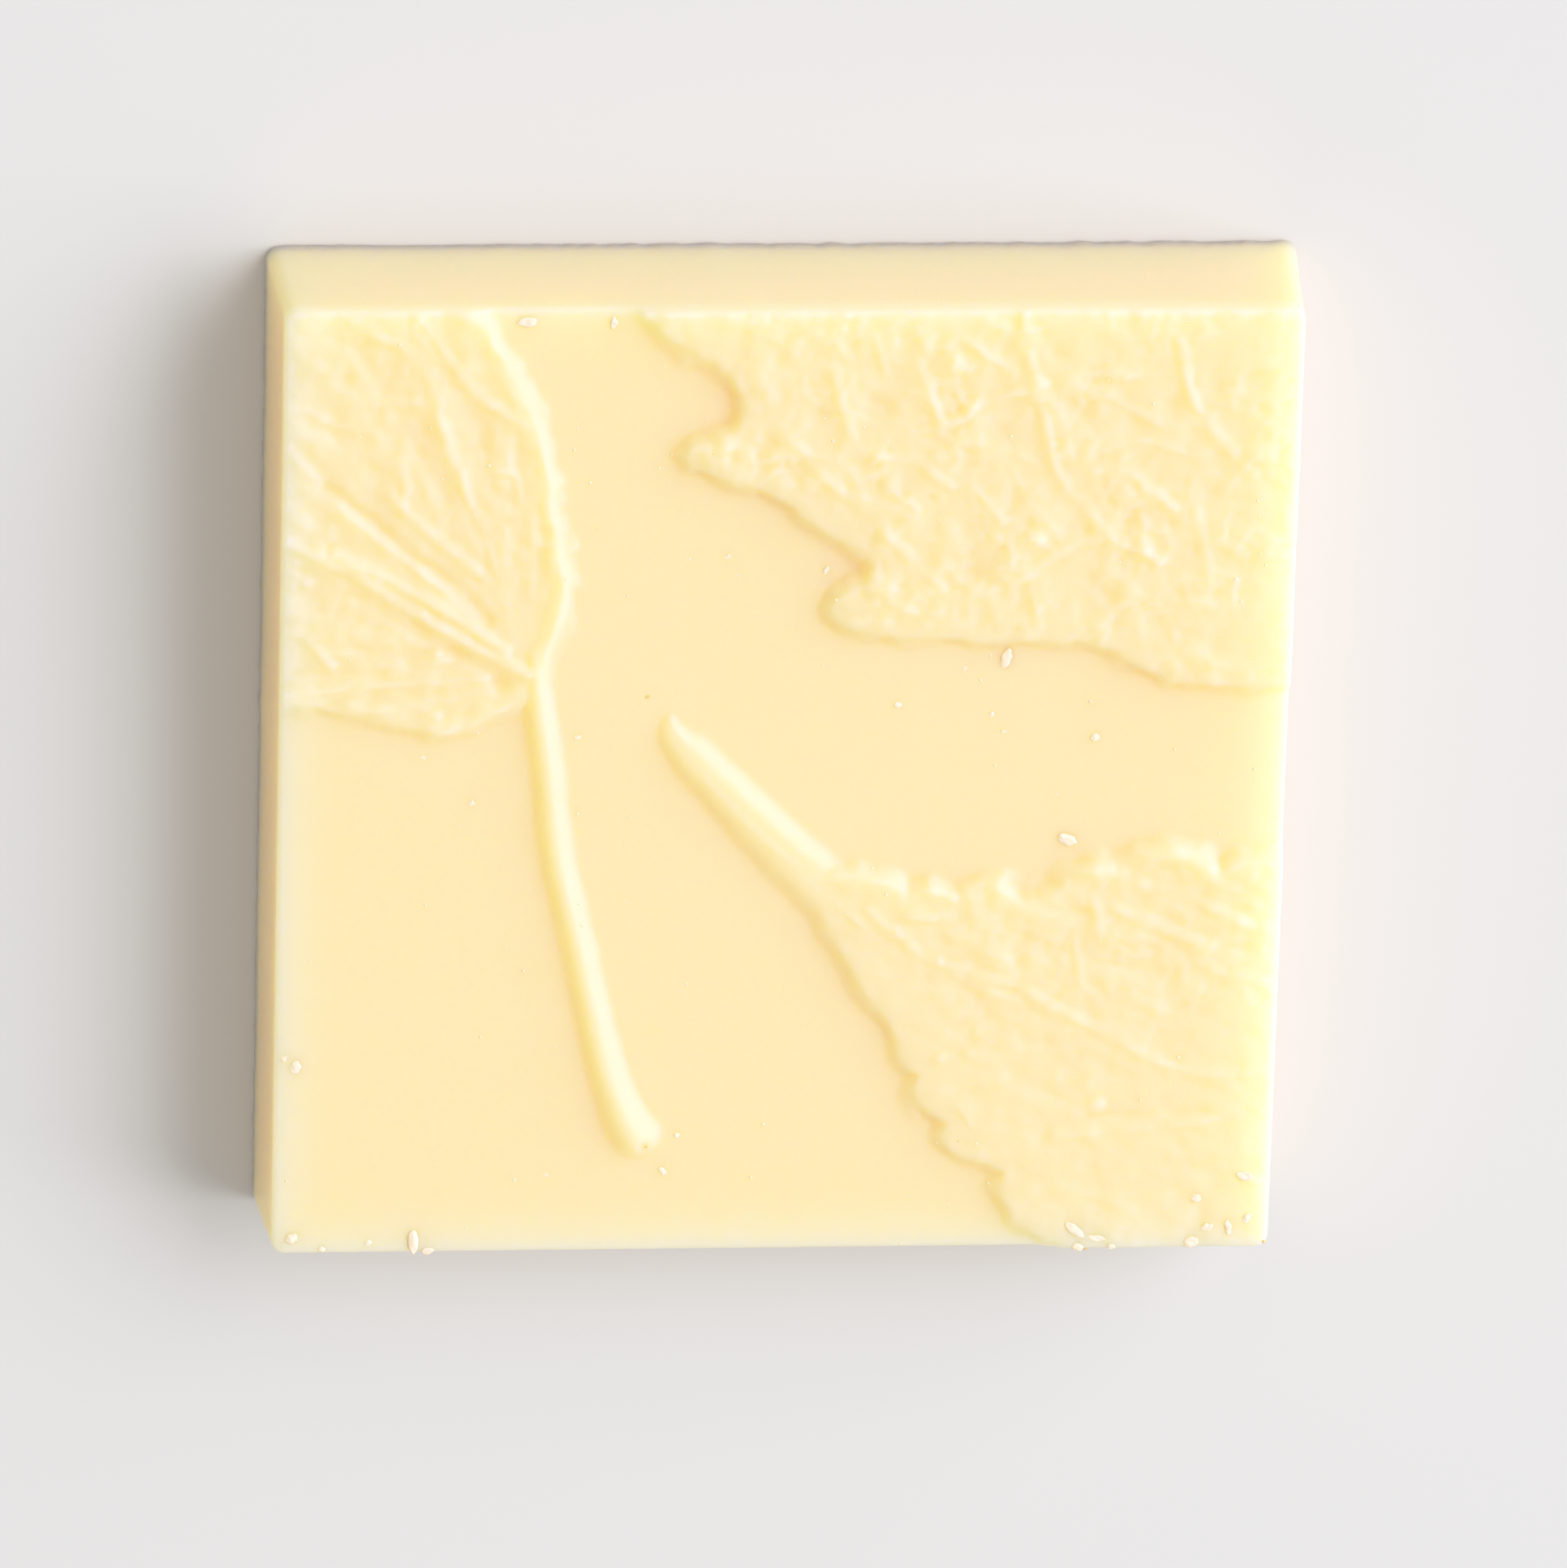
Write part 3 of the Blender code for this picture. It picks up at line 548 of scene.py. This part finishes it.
class Flow:
    """A socket of a node tree. Sums and products of flows add Math nodes to the same tree."""

    def __init__(self, tree, socket=None):
        self.tree = tree
        self.socket = socket

    def node(self, kind, settings, inputs, output=0):
        """Add any node: its type, its settings, then the values or links of its sockets."""
        made = self.tree.nodes.new(kind)
        for name, value in settings.items():
            setattr(made, name, value)
        for name, value in inputs.items():
            if isinstance(value, Flow):
                self.tree.links.new(value.socket, made.inputs[name])
            else:
                made.inputs[name].default_value = value
        return Flow(self.tree, made.outputs[output])

    def math(self, operation, *terms):
        return self.node("ShaderNodeMath", {"operation": operation}, dict(enumerate(terms)))

    def __add__(self, other):
        return self.math("ADD", self, other)

    def __radd__(self, other):
        return self.math("ADD", other, self)

    def __sub__(self, other):
        return self.math("SUBTRACT", self, other)

    def __rsub__(self, other):
        return self.math("SUBTRACT", other, self)

    def __mul__(self, other):
        return self.math("MULTIPLY", self, other)

    def __rmul__(self, other):
        return self.math("MULTIPLY", other, self)

    def __abs__(self):
        return self.math("ABSOLUTE", self)

    def clamped(self):
        return self.node("ShaderNodeClamp", {}, {"Value": self})

    def between(self, low, high):
        """0 below low, 1 above high, and smooth between them."""
        settings = {"interpolation_type": "SMOOTHSTEP"}
        return self.node("ShaderNodeMapRange", settings, {"Value": self, "From Min": low, "From Max": high})

    def tint(self, colour, other):
        """The colour where this flow is 0, the other where it is 1."""
        made = self.tree.nodes.new("ShaderNodeMix")
        made.data_type = "RGBA"
        self.tree.links.new(self.socket, made.inputs[0])
        for place, value in ((6, colour), (7, other)):
            if isinstance(value, Flow):
                self.tree.links.new(value.socket, made.inputs[place])
            else:
                made.inputs[place].default_value = (*value, 1.0)
        return Flow(self.tree, made.outputs[2])


# Colours of the chocolate: plain, warmer in slow clouds, paler where a leaf lay, and painted sheen near the
# edges
IVORY = (0.99, 0.713, 0.42)
WARM_IVORY = (0.985, 0.707, 0.413)
PALE_IVORY = (0.985, 0.725, 0.448)
EDGE_SHEEN_CREAM = (0.98, 0.775, 0.56)
# Noise textures: lumps for each metre, detail and roughness, from slow clouds to the finest grain
CLOUDS = (140.0, 3.0, 0.5)
MOTTLE = (900.0, 2.0, 0.5)
FINE_GRAIN = (4200.0, 3.0, 0.6)
# Where in a texture one colour starts to give way to the next, where it has done so, and how far it does
CLOUD_STEP = (0.3, 0.75)
MOTTLE_STEP = (0.55, 0.85)
MOTTLE_PALE = 0.2
LEAF_PALE = 0.15
EDGE_SHEEN_PALE = 0.85
# Width of the painted sheen band along the edges of the face, how much narrower it is along the far edge, how
# much it wanders, and how far below the face it starts and is full
EDGE_BAND = 2.6 * MM
FAR_EDGE_LESS = 1.1 * MM
BAND_WANDER = 0.5 * MM
BAND_FOOT = 0.45 * MM
BAND_FULL = 0.15 * MM
# Roughness of the plain face and of the leaves, and how much it and the skin vary
SATIN = 0.36
MATTE_LEAF = 0.52
CLOUD_GLOSS = 0.10
GRAIN_GLOSS = 0.16
SKIN_BUMP = 0.012 * MM
SKIN_BUMP_STRENGTH = 0.8
# Light goes a few millimetres into the chocolate, red furthest and blue least
SCATTER_DEPTH = 4.5 * MM
SCATTER_COLOUR = (1.0, 0.9, 0.30)
REFRACTION = 1.45
SHINE = 0.42


def bare_material(name):
    """A new material with nothing in its node tree, and a flow to build the tree from."""
    material = bpy.data.materials.new(name)
    material.use_nodes = True
    material.node_tree.nodes.clear()
    return material, Flow(material.node_tree)


def coat(start, inputs):
    """Finish a material's tree with one shader, made from these values and flows."""
    shader = start.node("ShaderNodeBsdfPrincipled", {}, inputs, "BSDF")
    output = start.tree.nodes.new("ShaderNodeOutputMaterial")
    start.tree.links.new(shader.socket, output.inputs["Surface"])


def white_chocolate():
    """Ivory cocoa-butter chocolate: satin from the mould, duller and paler where the leaves lay."""
    material, start = bare_material("white_chocolate_satin")
    place = start.node("ShaderNodeTexCoord", {}, {}, "Object")
    leaf = start.node("ShaderNodeAttribute", {"attribute_name": "imprint"}, {}, "Fac")

    clouds, mottle, fine = [
        start.node("ShaderNodeTexNoise", {},
                   {"Vector": place, "Scale": scale, "Detail": detail, "Roughness": roughness}, "Fac")
        for scale, detail, roughness in (CLOUDS, MOTTLE, FINE_GRAIN)]

    colour = clouds.between(*CLOUD_STEP).tint(IVORY, WARM_IVORY)
    colour = (mottle.between(*MOTTLE_STEP) * MOTTLE_PALE).tint(colour, PALE_IVORY)
    colour = (leaf * mottle * LEAF_PALE).tint(colour, PALE_IVORY)
    across = start.node("ShaderNodeSeparateXYZ", {}, {0: place}, "X")
    along = start.node("ShaderNodeSeparateXYZ", {}, {0: place}, "Y")
    up = start.node("ShaderNodeSeparateXYZ", {}, {0: place}, "Z")
    near_edges = across.math("MAXIMUM", abs(across), along * -1.0)
    out = near_edges.math("MAXIMUM", near_edges, along - FAR_EDGE_LESS) + BAND_WANDER * (mottle - 0.5)
    painted_edge_sheen = ((out - (FACE_SIDE / 2.0 * MM - EDGE_BAND)) * (1.0 / EDGE_BAND)).clamped()
    on_face = up.between(THICKNESS * MM - BAND_FOOT, THICKNESS * MM - BAND_FULL)
    # Painted sheen: the face turns cream towards its edges, for the light that glows through and shines off
    # them
    colour = (EDGE_SHEEN_PALE * painted_edge_sheen * painted_edge_sheen * on_face).tint(colour, EDGE_SHEEN_CREAM)

    gloss = SATIN + leaf * (MATTE_LEAF - SATIN) + CLOUD_GLOSS * (clouds - 0.5) + GRAIN_GLOSS * (fine - 0.5)
    skin = start.node("ShaderNodeBump", {}, {"Height": fine * 0.5 + mottle * 0.5, "Distance": SKIN_BUMP,
                                             "Strength": SKIN_BUMP_STRENGTH}, "Normal")
    coat(start, {
        "Base Color": colour, "Roughness": gloss, "Normal": skin, "Subsurface Weight": 1.0,
        "Subsurface Radius": SCATTER_COLOUR, "Subsurface Scale": SCATTER_DEPTH, "IOR": REFRACTION,
        "Specular IOR Level": SHINE})
    return material


CHOCOLATE = white_chocolate()
square = bpy.data.objects.new("chocolate_square_dressed", block_mesh())
bpy.context.scene.collection.objects.link(square)
square.data.materials.append(CHOCOLATE)
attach(square, "root")
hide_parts("chocolate_square")

# Crumbs, dust and specks
# Shavings of the same chocolate, rubbed off in the pack, lie on the face and cling to its rim, with finer
# dust between them. Each is a lumpy grain, bedded to its middle in what it lies on. A few are browned.
RIM = FACE_SIDE / 2.0 - EDGE_ROUND
# Place, length, width and height of each crumb, and its turn in degrees
CRUMBS = [
    (11.1, -2.42, 0.78, 0.46, 0.26, -20.0), (8.5, 5.12, 0.86, 0.42, 0.16, 74.0),
    (12.05, 1.83, 0.34, 0.30, 0.14, 0.0), (4.35, 3.26, 0.30, 0.24, 0.07, 20.0),
    (8.0, 2.8, 0.22, 0.18, 0.06, 50.0), (8.5, 2.1, 0.20, 0.16, 0.06, 0.0),
    (6.9, 4.7, 0.22, 0.16, 0.06, 80.0), (1.4, 8.8, 0.30, 0.18, 0.09, 60.0),
    (-2.4, 9.4, 0.30, 0.18, 0.08, 30.0), (-8.05, 2.0, 0.26, 0.22, 0.09, 0.0),
    (-12.1, -0.7, 0.24, 0.22, 0.09, 0.0), (-14.0, 1.2, 0.20, 0.18, 0.08, 0.0),
    (-8.9, -16.3, 0.22, 0.18, 0.06, 40.0), (-4.3, -16.2, 0.40, 0.28, 0.10, -30.0),
    (-3.8, -14.7, 0.28, 0.20, 0.10, 10.0), (-7.75, -5.7, 0.22, 0.18, 0.08, 0.0),
    (17.2, 8.5, 0.20, 0.18, 0.08, 0.0), (-18.72, -11.65, 0.56, 0.40, 0.12, 75.0),
    (-19.2, -11.3, 0.28, 0.24, 0.10, 0.0),
    (-18.8, -18.9, 0.55, 0.42, 0.22, 30.0), (-15.8, -19.1, 0.34, 0.26, 0.12, 0.0),
    (-14.03, -19.08, 1.00, 0.42, 0.34, 92.0), (-13.45, -19.48, 0.48, 0.34, 0.24, 10.0),
    (11.88, -18.72, 0.98, 0.38, 0.24, -40.0), (12.05, -19.45, 0.46, 0.32, 0.24, -10.0),
    (12.75, -19.1, 0.80, 0.26, 0.10, -5.0), (16.5, -19.3, 0.60, 0.46, 0.24, 15.0),
    (17.12, -18.65, 0.50, 0.34, 0.10, 20.0), (16.65, -17.4, 0.42, 0.36, 0.10, 0.0),
    (17.95, -18.7, 0.66, 0.27, 0.18, -82.0), (18.68, -18.3, 0.46, 0.30, 0.12, 60.0),
    (18.55, -16.5, 0.80, 0.36, 0.14, -20.0), (13.4, -19.45, 0.36, 0.22, 0.14, 0.0),
    (-7.0, 18.95, 0.50, 0.28, 0.12, 85.0), (-10.3, 19.0, 0.85, 0.36, 0.12, 4.0),
    (-17.6, -19.35, 0.28, 0.20, 0.12, 0.0), (5.2, -19.35, 0.24, 0.18, 0.09, 0.0),
]
BROWN_SPECKS = [
    (-5.36, 3.65, 0.22, 0.14, 0.04, 20.0), (12.36, -19.58, 0.17, 0.15, 0.14, 0.0),
    (19.4, -19.3, 0.16, 0.15, 0.12, 0.0), (-5.0, -15.05, 0.14, 0.12, 0.10, 0.0),
    (-3.1, 13.8, 0.14, 0.10, 0.08, 60.0), (7.2, -14.9, 0.10, 0.09, 0.07, 0.0),
]
# How far a crumb reaches from its middle, as parts of its length, width and height
CRUMB_REACH = (0.5, 0.5, 0.3)
# How finely the grains are divided, the size of their lumps, and how far these push the skin
CRUMB_STEPS = 3
CRUMB_LUMP = 0.16 * MM
CRUMB_LUMPINESS = 0.15 * MM
SPECK_LUMPINESS = 0.03 * MM
DUST_STEPS = 2
DUST_LUMP = 0.08 * MM
DUST_LUMPINESS = 0.05 * MM
# Dust lies only on the face, above this height
DUST_FROM = (THICKNESS - 0.1) * MM
DUST_PER_SQUARE_METRE = 60000.0
DUST_SIZES = (0.03 * MM, 0.065 * MM)
DUST_SEED = 7
# Light and dark of the grains, the lumps of colour for each metre, where in them the colour turns, and how
# dull the grains are, with how much that varies
PALE_GRAIN = ((0.93, 0.78, 0.61), (0.93, 0.74, 0.53))
BROWNED_GRAIN = ((0.80, 0.58, 0.26), (0.68, 0.46, 0.18))
GRAIN_CLOUDS = 1500.0
GRAIN_STEP = (0.3, 0.7)
GRAIN_DULLNESS = 0.5
GRAIN_DULLNESS_MORE = 0.2


def crumb_finish(name, light, dark):
    """Dull, broken chocolate, lighter and darker from grain to grain."""
    material, start = bare_material(name)
    place = start.node("ShaderNodeTexCoord", {}, {}, "Object")
    cloud = start.node("ShaderNodeTexNoise", {},
                       {"Vector": place, "Scale": GRAIN_CLOUDS, "Detail": 2.0}, "Fac")
    colour = cloud.between(*GRAIN_STEP).tint(light, dark)
    dullness = GRAIN_DULLNESS + GRAIN_DULLNESS_MORE * cloud
    coat(start, {"Base Color": colour, "Roughness": dullness, "IOR": REFRACTION})
    return material


def growing_tree(name, inputs):
    """An empty Geometry Nodes tree with named inputs: the tree, its input flows by name, and its output."""
    tree = bpy.data.node_groups.new(name, "GeometryNodeTree")
    tree.interface.new_socket("Geometry", in_out="OUTPUT", socket_type="NodeSocketGeometry")
    tree.interface.new_socket("Geometry", in_out="INPUT", socket_type="NodeSocketGeometry")
    for label, kind in inputs:
        tree.interface.new_socket(label, in_out="INPUT", socket_type=kind)
    entry = tree.nodes.new("NodeGroupInput")
    flows = {socket.name: Flow(tree, socket) for socket in entry.outputs if socket.name}
    return tree, flows, tree.nodes.new("NodeGroupOutput")


def lumpy(flow, grains, lump, lumpiness, material):
    """Realize the grains, push their skins in and out, and give them their material."""
    real = flow.node("GeometryNodeRealizeInstances", {}, {"Geometry": grains})
    place = flow.node("GeometryNodeInputPosition", {}, {})
    normal = flow.node("GeometryNodeInputNormal", {}, {})
    noise_here = flow.node("ShaderNodeTexNoise", {}, {"Vector": place, "Scale": 1.0 / lump, "Detail": 1.0}, 0)
    push = flow.node("ShaderNodeVectorMath", {"operation": "SCALE"},
                     {"Vector": normal, "Scale": (noise_here - 0.5) * lumpiness})
    pushed = flow.node("GeometryNodeSetPosition", {}, {"Geometry": real, "Offset": push})
    smooth = flow.node("GeometryNodeSetShadeSmooth", {}, {"Geometry": pushed})
    return flow.node("GeometryNodeSetMaterial", {}, {"Geometry": smooth, "Material": material})


def crumb_tree():
    """One grain at each point of the carrier, as long, wide, high and turned as the point says."""
    tree, given, end = growing_tree("crumbs", [
        ("Lumpiness", "NodeSocketFloat"), ("Material", "NodeSocketMaterial")])
    flow = given["Geometry"]
    ball = flow.node("GeometryNodeMeshIcoSphere", {}, {"Radius": 1.0, "Subdivisions": CRUMB_STEPS})
    reach = flow.node("GeometryNodeInputNamedAttribute", {"data_type": "FLOAT_VECTOR"}, {"Name": "reach"})
    turn = flow.node("GeometryNodeInputNamedAttribute", {"data_type": "FLOAT_VECTOR"}, {"Name": "turn"})
    angle = flow.node("FunctionNodeEulerToRotation", {}, {"Euler": turn})
    grains = flow.node("GeometryNodeInstanceOnPoints", {},
                       {"Points": flow, "Instance": ball, "Rotation": angle, "Scale": reach})
    done = lumpy(flow, grains, CRUMB_LUMP, given["Lumpiness"], given["Material"])
    tree.links.new(done.socket, end.inputs[0])
    return tree


def dust_tree():
    """Fine grains strewn over the top of the carrier."""
    tree, given, end = growing_tree("dust", [
        ("Density", "NodeSocketFloat"), ("Smallest", "NodeSocketFloat"), ("Largest", "NodeSocketFloat"),
        ("Seed", "NodeSocketInt"), ("Material", "NodeSocketMaterial")])
    flow = given["Geometry"]
    place = flow.node("GeometryNodeInputPosition", {}, {})
    height = flow.node("ShaderNodeSeparateXYZ", {}, {0: place}, "Z")
    on_top = flow.node("FunctionNodeCompare", {"data_type": "FLOAT", "operation": "GREATER_THAN"},
                       {0: height, 1: DUST_FROM})
    spots = flow.node("GeometryNodeDistributePointsOnFaces", {},
                      {"Mesh": flow, "Selection": on_top, "Density": given["Density"], "Seed": given["Seed"]})
    ball = flow.node("GeometryNodeMeshIcoSphere", {}, {"Radius": 1.0, "Subdivisions": DUST_STEPS})
    size = flow.node("FunctionNodeRandomValue", {"data_type": "FLOAT"},
                     {2: given["Smallest"], 3: given["Largest"], "Seed": given["Seed"]}, 1)
    grains = flow.node("GeometryNodeInstanceOnPoints", {}, {"Points": spots, "Instance": ball, "Scale": size})
    done = lumpy(flow, grains, DUST_LUMP, DUST_LUMPINESS, given["Material"])
    tree.links.new(done.socket, end.inputs[0])
    return tree


def grow(name, carrier, tree, values):
    """Run a tree on a carrier mesh and keep what grew as a plain piece."""
    piece = bpy.data.objects.new(name, carrier)
    bpy.context.scene.collection.objects.link(piece)
    growth = piece.modifiers.new("growth", "NODES")
    growth.node_group = tree
    for item in tree.interface.items_tree:
        if item.name in values:
            growth[item.identifier] = values[item.name]
    grown = bpy.data.meshes.new_from_object(piece.evaluated_get(bpy.context.evaluated_depsgraph_get()))
    piece.modifiers.clear()
    piece.data = grown
    grown.name = name
    while grown.materials[0] is None:
        grown.materials.pop(index=0)
    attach(piece, "root")
    return piece


def points_for(rows):
    """A carrier with one point for each crumb, at its height on the relief and over the rounded rim."""
    rows = np.array(rows)
    flat = np.clip(rows[:, :2], -RIM, RIM)
    height, _ = relief(flat)
    past = np.minimum(np.linalg.norm(rows[:, :2] - flat, axis=1), EDGE_ROUND)
    drop = EDGE_ROUND - np.sqrt(EDGE_ROUND ** 2 - past ** 2)
    z = THICKNESS + height - drop
    carrier = bpy.data.meshes.new("carrier")
    carrier.from_pydata((np.column_stack([rows[:, :2], z]) * MM).tolist(), [], [])
    reach = carrier.attributes.new("reach", "FLOAT_VECTOR", "POINT")
    reach.data.foreach_set("vector", (rows[:, 2:5] * CRUMB_REACH * MM).ravel())
    turn = carrier.attributes.new("turn", "FLOAT_VECTOR", "POINT")
    turns = np.column_stack([np.zeros(len(rows)), np.zeros(len(rows)), np.radians(rows[:, 5])])
    turn.data.foreach_set("vector", turns.ravel())
    return carrier


PALE_CRUMB = crumb_finish("pale_crumb", *PALE_GRAIN)
BROWN_SPECK = crumb_finish("brown_speck", *BROWNED_GRAIN)
CRUMB_TREE = crumb_tree()
grow("crumbs", points_for(CRUMBS), CRUMB_TREE, {"Lumpiness": CRUMB_LUMPINESS, "Material": PALE_CRUMB})
grow("brown_specks", points_for(BROWN_SPECKS), CRUMB_TREE,
     {"Lumpiness": SPECK_LUMPINESS, "Material": BROWN_SPECK})
grow("dust", square.data, dust_tree(), {
    "Density": DUST_PER_SQUARE_METRE, "Smallest": DUST_SIZES[0], "Largest": DUST_SIZES[1],
    "Seed": DUST_SEED, "Material": PALE_CRUMB})

# The floor, the light and the camera
# A plain pale floor under a soft studio: one large light from the right, a warm bounce from the left, a
# weak fill from above, and a camera that looks down at the angle of the photograph.
FLOOR_HALF = 1.5
FLOOR_DROP = 0.05 * MM
FLOOR_COLOURS = ((0.60, 0.63, 0.66), (0.615, 0.645, 0.675))
FLOOR_CLOUDS = 6.0
FLOOR_DULLNESS = 0.42


def floor_finish():
    """Pale matt board."""
    material, start = bare_material("pale_floor")
    place = start.node("ShaderNodeTexCoord", {}, {}, "Object")
    cloud = start.node("ShaderNodeTexNoise", {},
                       {"Vector": place, "Scale": FLOOR_CLOUDS, "Detail": 2.0}, "Fac")
    coat(start, {"Base Color": cloud.tint(*FLOOR_COLOURS), "Roughness": FLOOR_DULLNESS})
    return material


floor_mesh = bpy.data.meshes.new("floor")
floor_mesh.from_pydata([(x * FLOOR_HALF, y * FLOOR_HALF, -FLOOR_DROP)
                        for x, y in ((-1, -1), (1, -1), (1, 1), (-1, 1))], [], [(0, 1, 2, 3)])
floor = bpy.data.objects.new("floor", floor_mesh)
bpy.context.scene.collection.objects.link(floor)
floor_mesh.materials.append(floor_finish())

# Square soft boxes that shine at the block: where each stands, how far off, its size, watts and colour
SOFT_LIGHTS = {
    "key_from_right": ((0.82, 0.28, 0.50), 1.0, 1.4, 26.3, (1.0, 0.93, 0.91)),
    "bounce_from_left": ((-0.80, -0.40, 0.45), 1.0, 1.2, 2.2, (1.0, 0.90, 0.48)),
    "fill_from_above": ((-0.15, 0.1, 0.98), 1.2, 1.0, 1.2, (1.0, 0.96, 0.92)),
}
for name, (direction, distance, size, watts, colour) in SOFT_LIGHTS.items():
    lamp = bpy.data.lights.new(name, "AREA")
    lamp.shape = "SQUARE"
    lamp.size = size
    lamp.energy = watts
    lamp.color = colour
    light = bpy.data.objects.new(name, lamp)
    light.location = Vector(direction).normalized() * distance
    light.rotation_euler = Vector(direction).to_track_quat("Z", "Y").to_euler()
    bpy.context.scene.collection.objects.link(light)

# Even light from all round fills the shadows
AIR_COLOUR = (1.0, 0.95, 0.93, 1.0)
AIR_STRENGTH = 0.46
world = bpy.data.worlds.new("studio")
world.use_nodes = True
world.node_tree.nodes["Background"].inputs["Color"].default_value = AIR_COLOUR
world.node_tree.nodes["Background"].inputs["Strength"].default_value = AIR_STRENGTH
bpy.context.scene.world = world

# The photograph is bright, so the lightest tones ease towards white instead of stopping short at it
TONES = [(0.0, 0.0), (0.3, 0.3), (0.6, 0.615), (0.75, 0.755), (0.88, 0.835), (1.05, 0.925), (1.15, 0.975),
         (1.3, 1.0)]
TONE_WHITE = TONES[-1][0]
view = bpy.context.scene.view_settings
view.view_transform = "Standard"
view.use_curve_mapping = True
view.curve_mapping.white_level = (TONE_WHITE, TONE_WHITE, TONE_WHITE)
tone = view.curve_mapping.curves[3]
tone.points[0].location = (0.0, 0.0)
tone.points[-1].location = (1.0, 1.0)
for level, shown in TONES[1:-1]:
    tone.points.new(level / TONE_WHITE, shown)
view.curve_mapping.update()

# The camera stands where the photograph's did from the middle of the face, and is framed closer
CAMERA_FROM_FACE = Vector((-52.1, 205.0, 520.4)) * MM
CAMERA_UP = Vector((0.0058, 0.9401, -0.3409))
LENS = 333.7
SENSOR = 36.0
NEAREST_SHOWN = 0.01
FACE_MIDDLE = Vector((0.0, 0.0, THICKNESS * MM))

camera_data = bpy.data.cameras.new("camera")
camera_data.lens = LENS
camera_data.sensor_width = SENSOR
camera_data.clip_start = NEAREST_SHOWN
camera = bpy.data.objects.new("camera", camera_data)
bpy.context.scene.collection.objects.link(camera)
back_axis = CAMERA_FROM_FACE.normalized()
right_axis = CAMERA_UP.cross(back_axis).normalized()
up_axis = back_axis.cross(right_axis)
turned = Matrix((right_axis, up_axis, back_axis)).transposed().to_quaternion()
camera.matrix_world = Matrix.LocRotScale(FACE_MIDDLE + CAMERA_FROM_FACE, turned, None)
bpy.context.scene.camera = camera
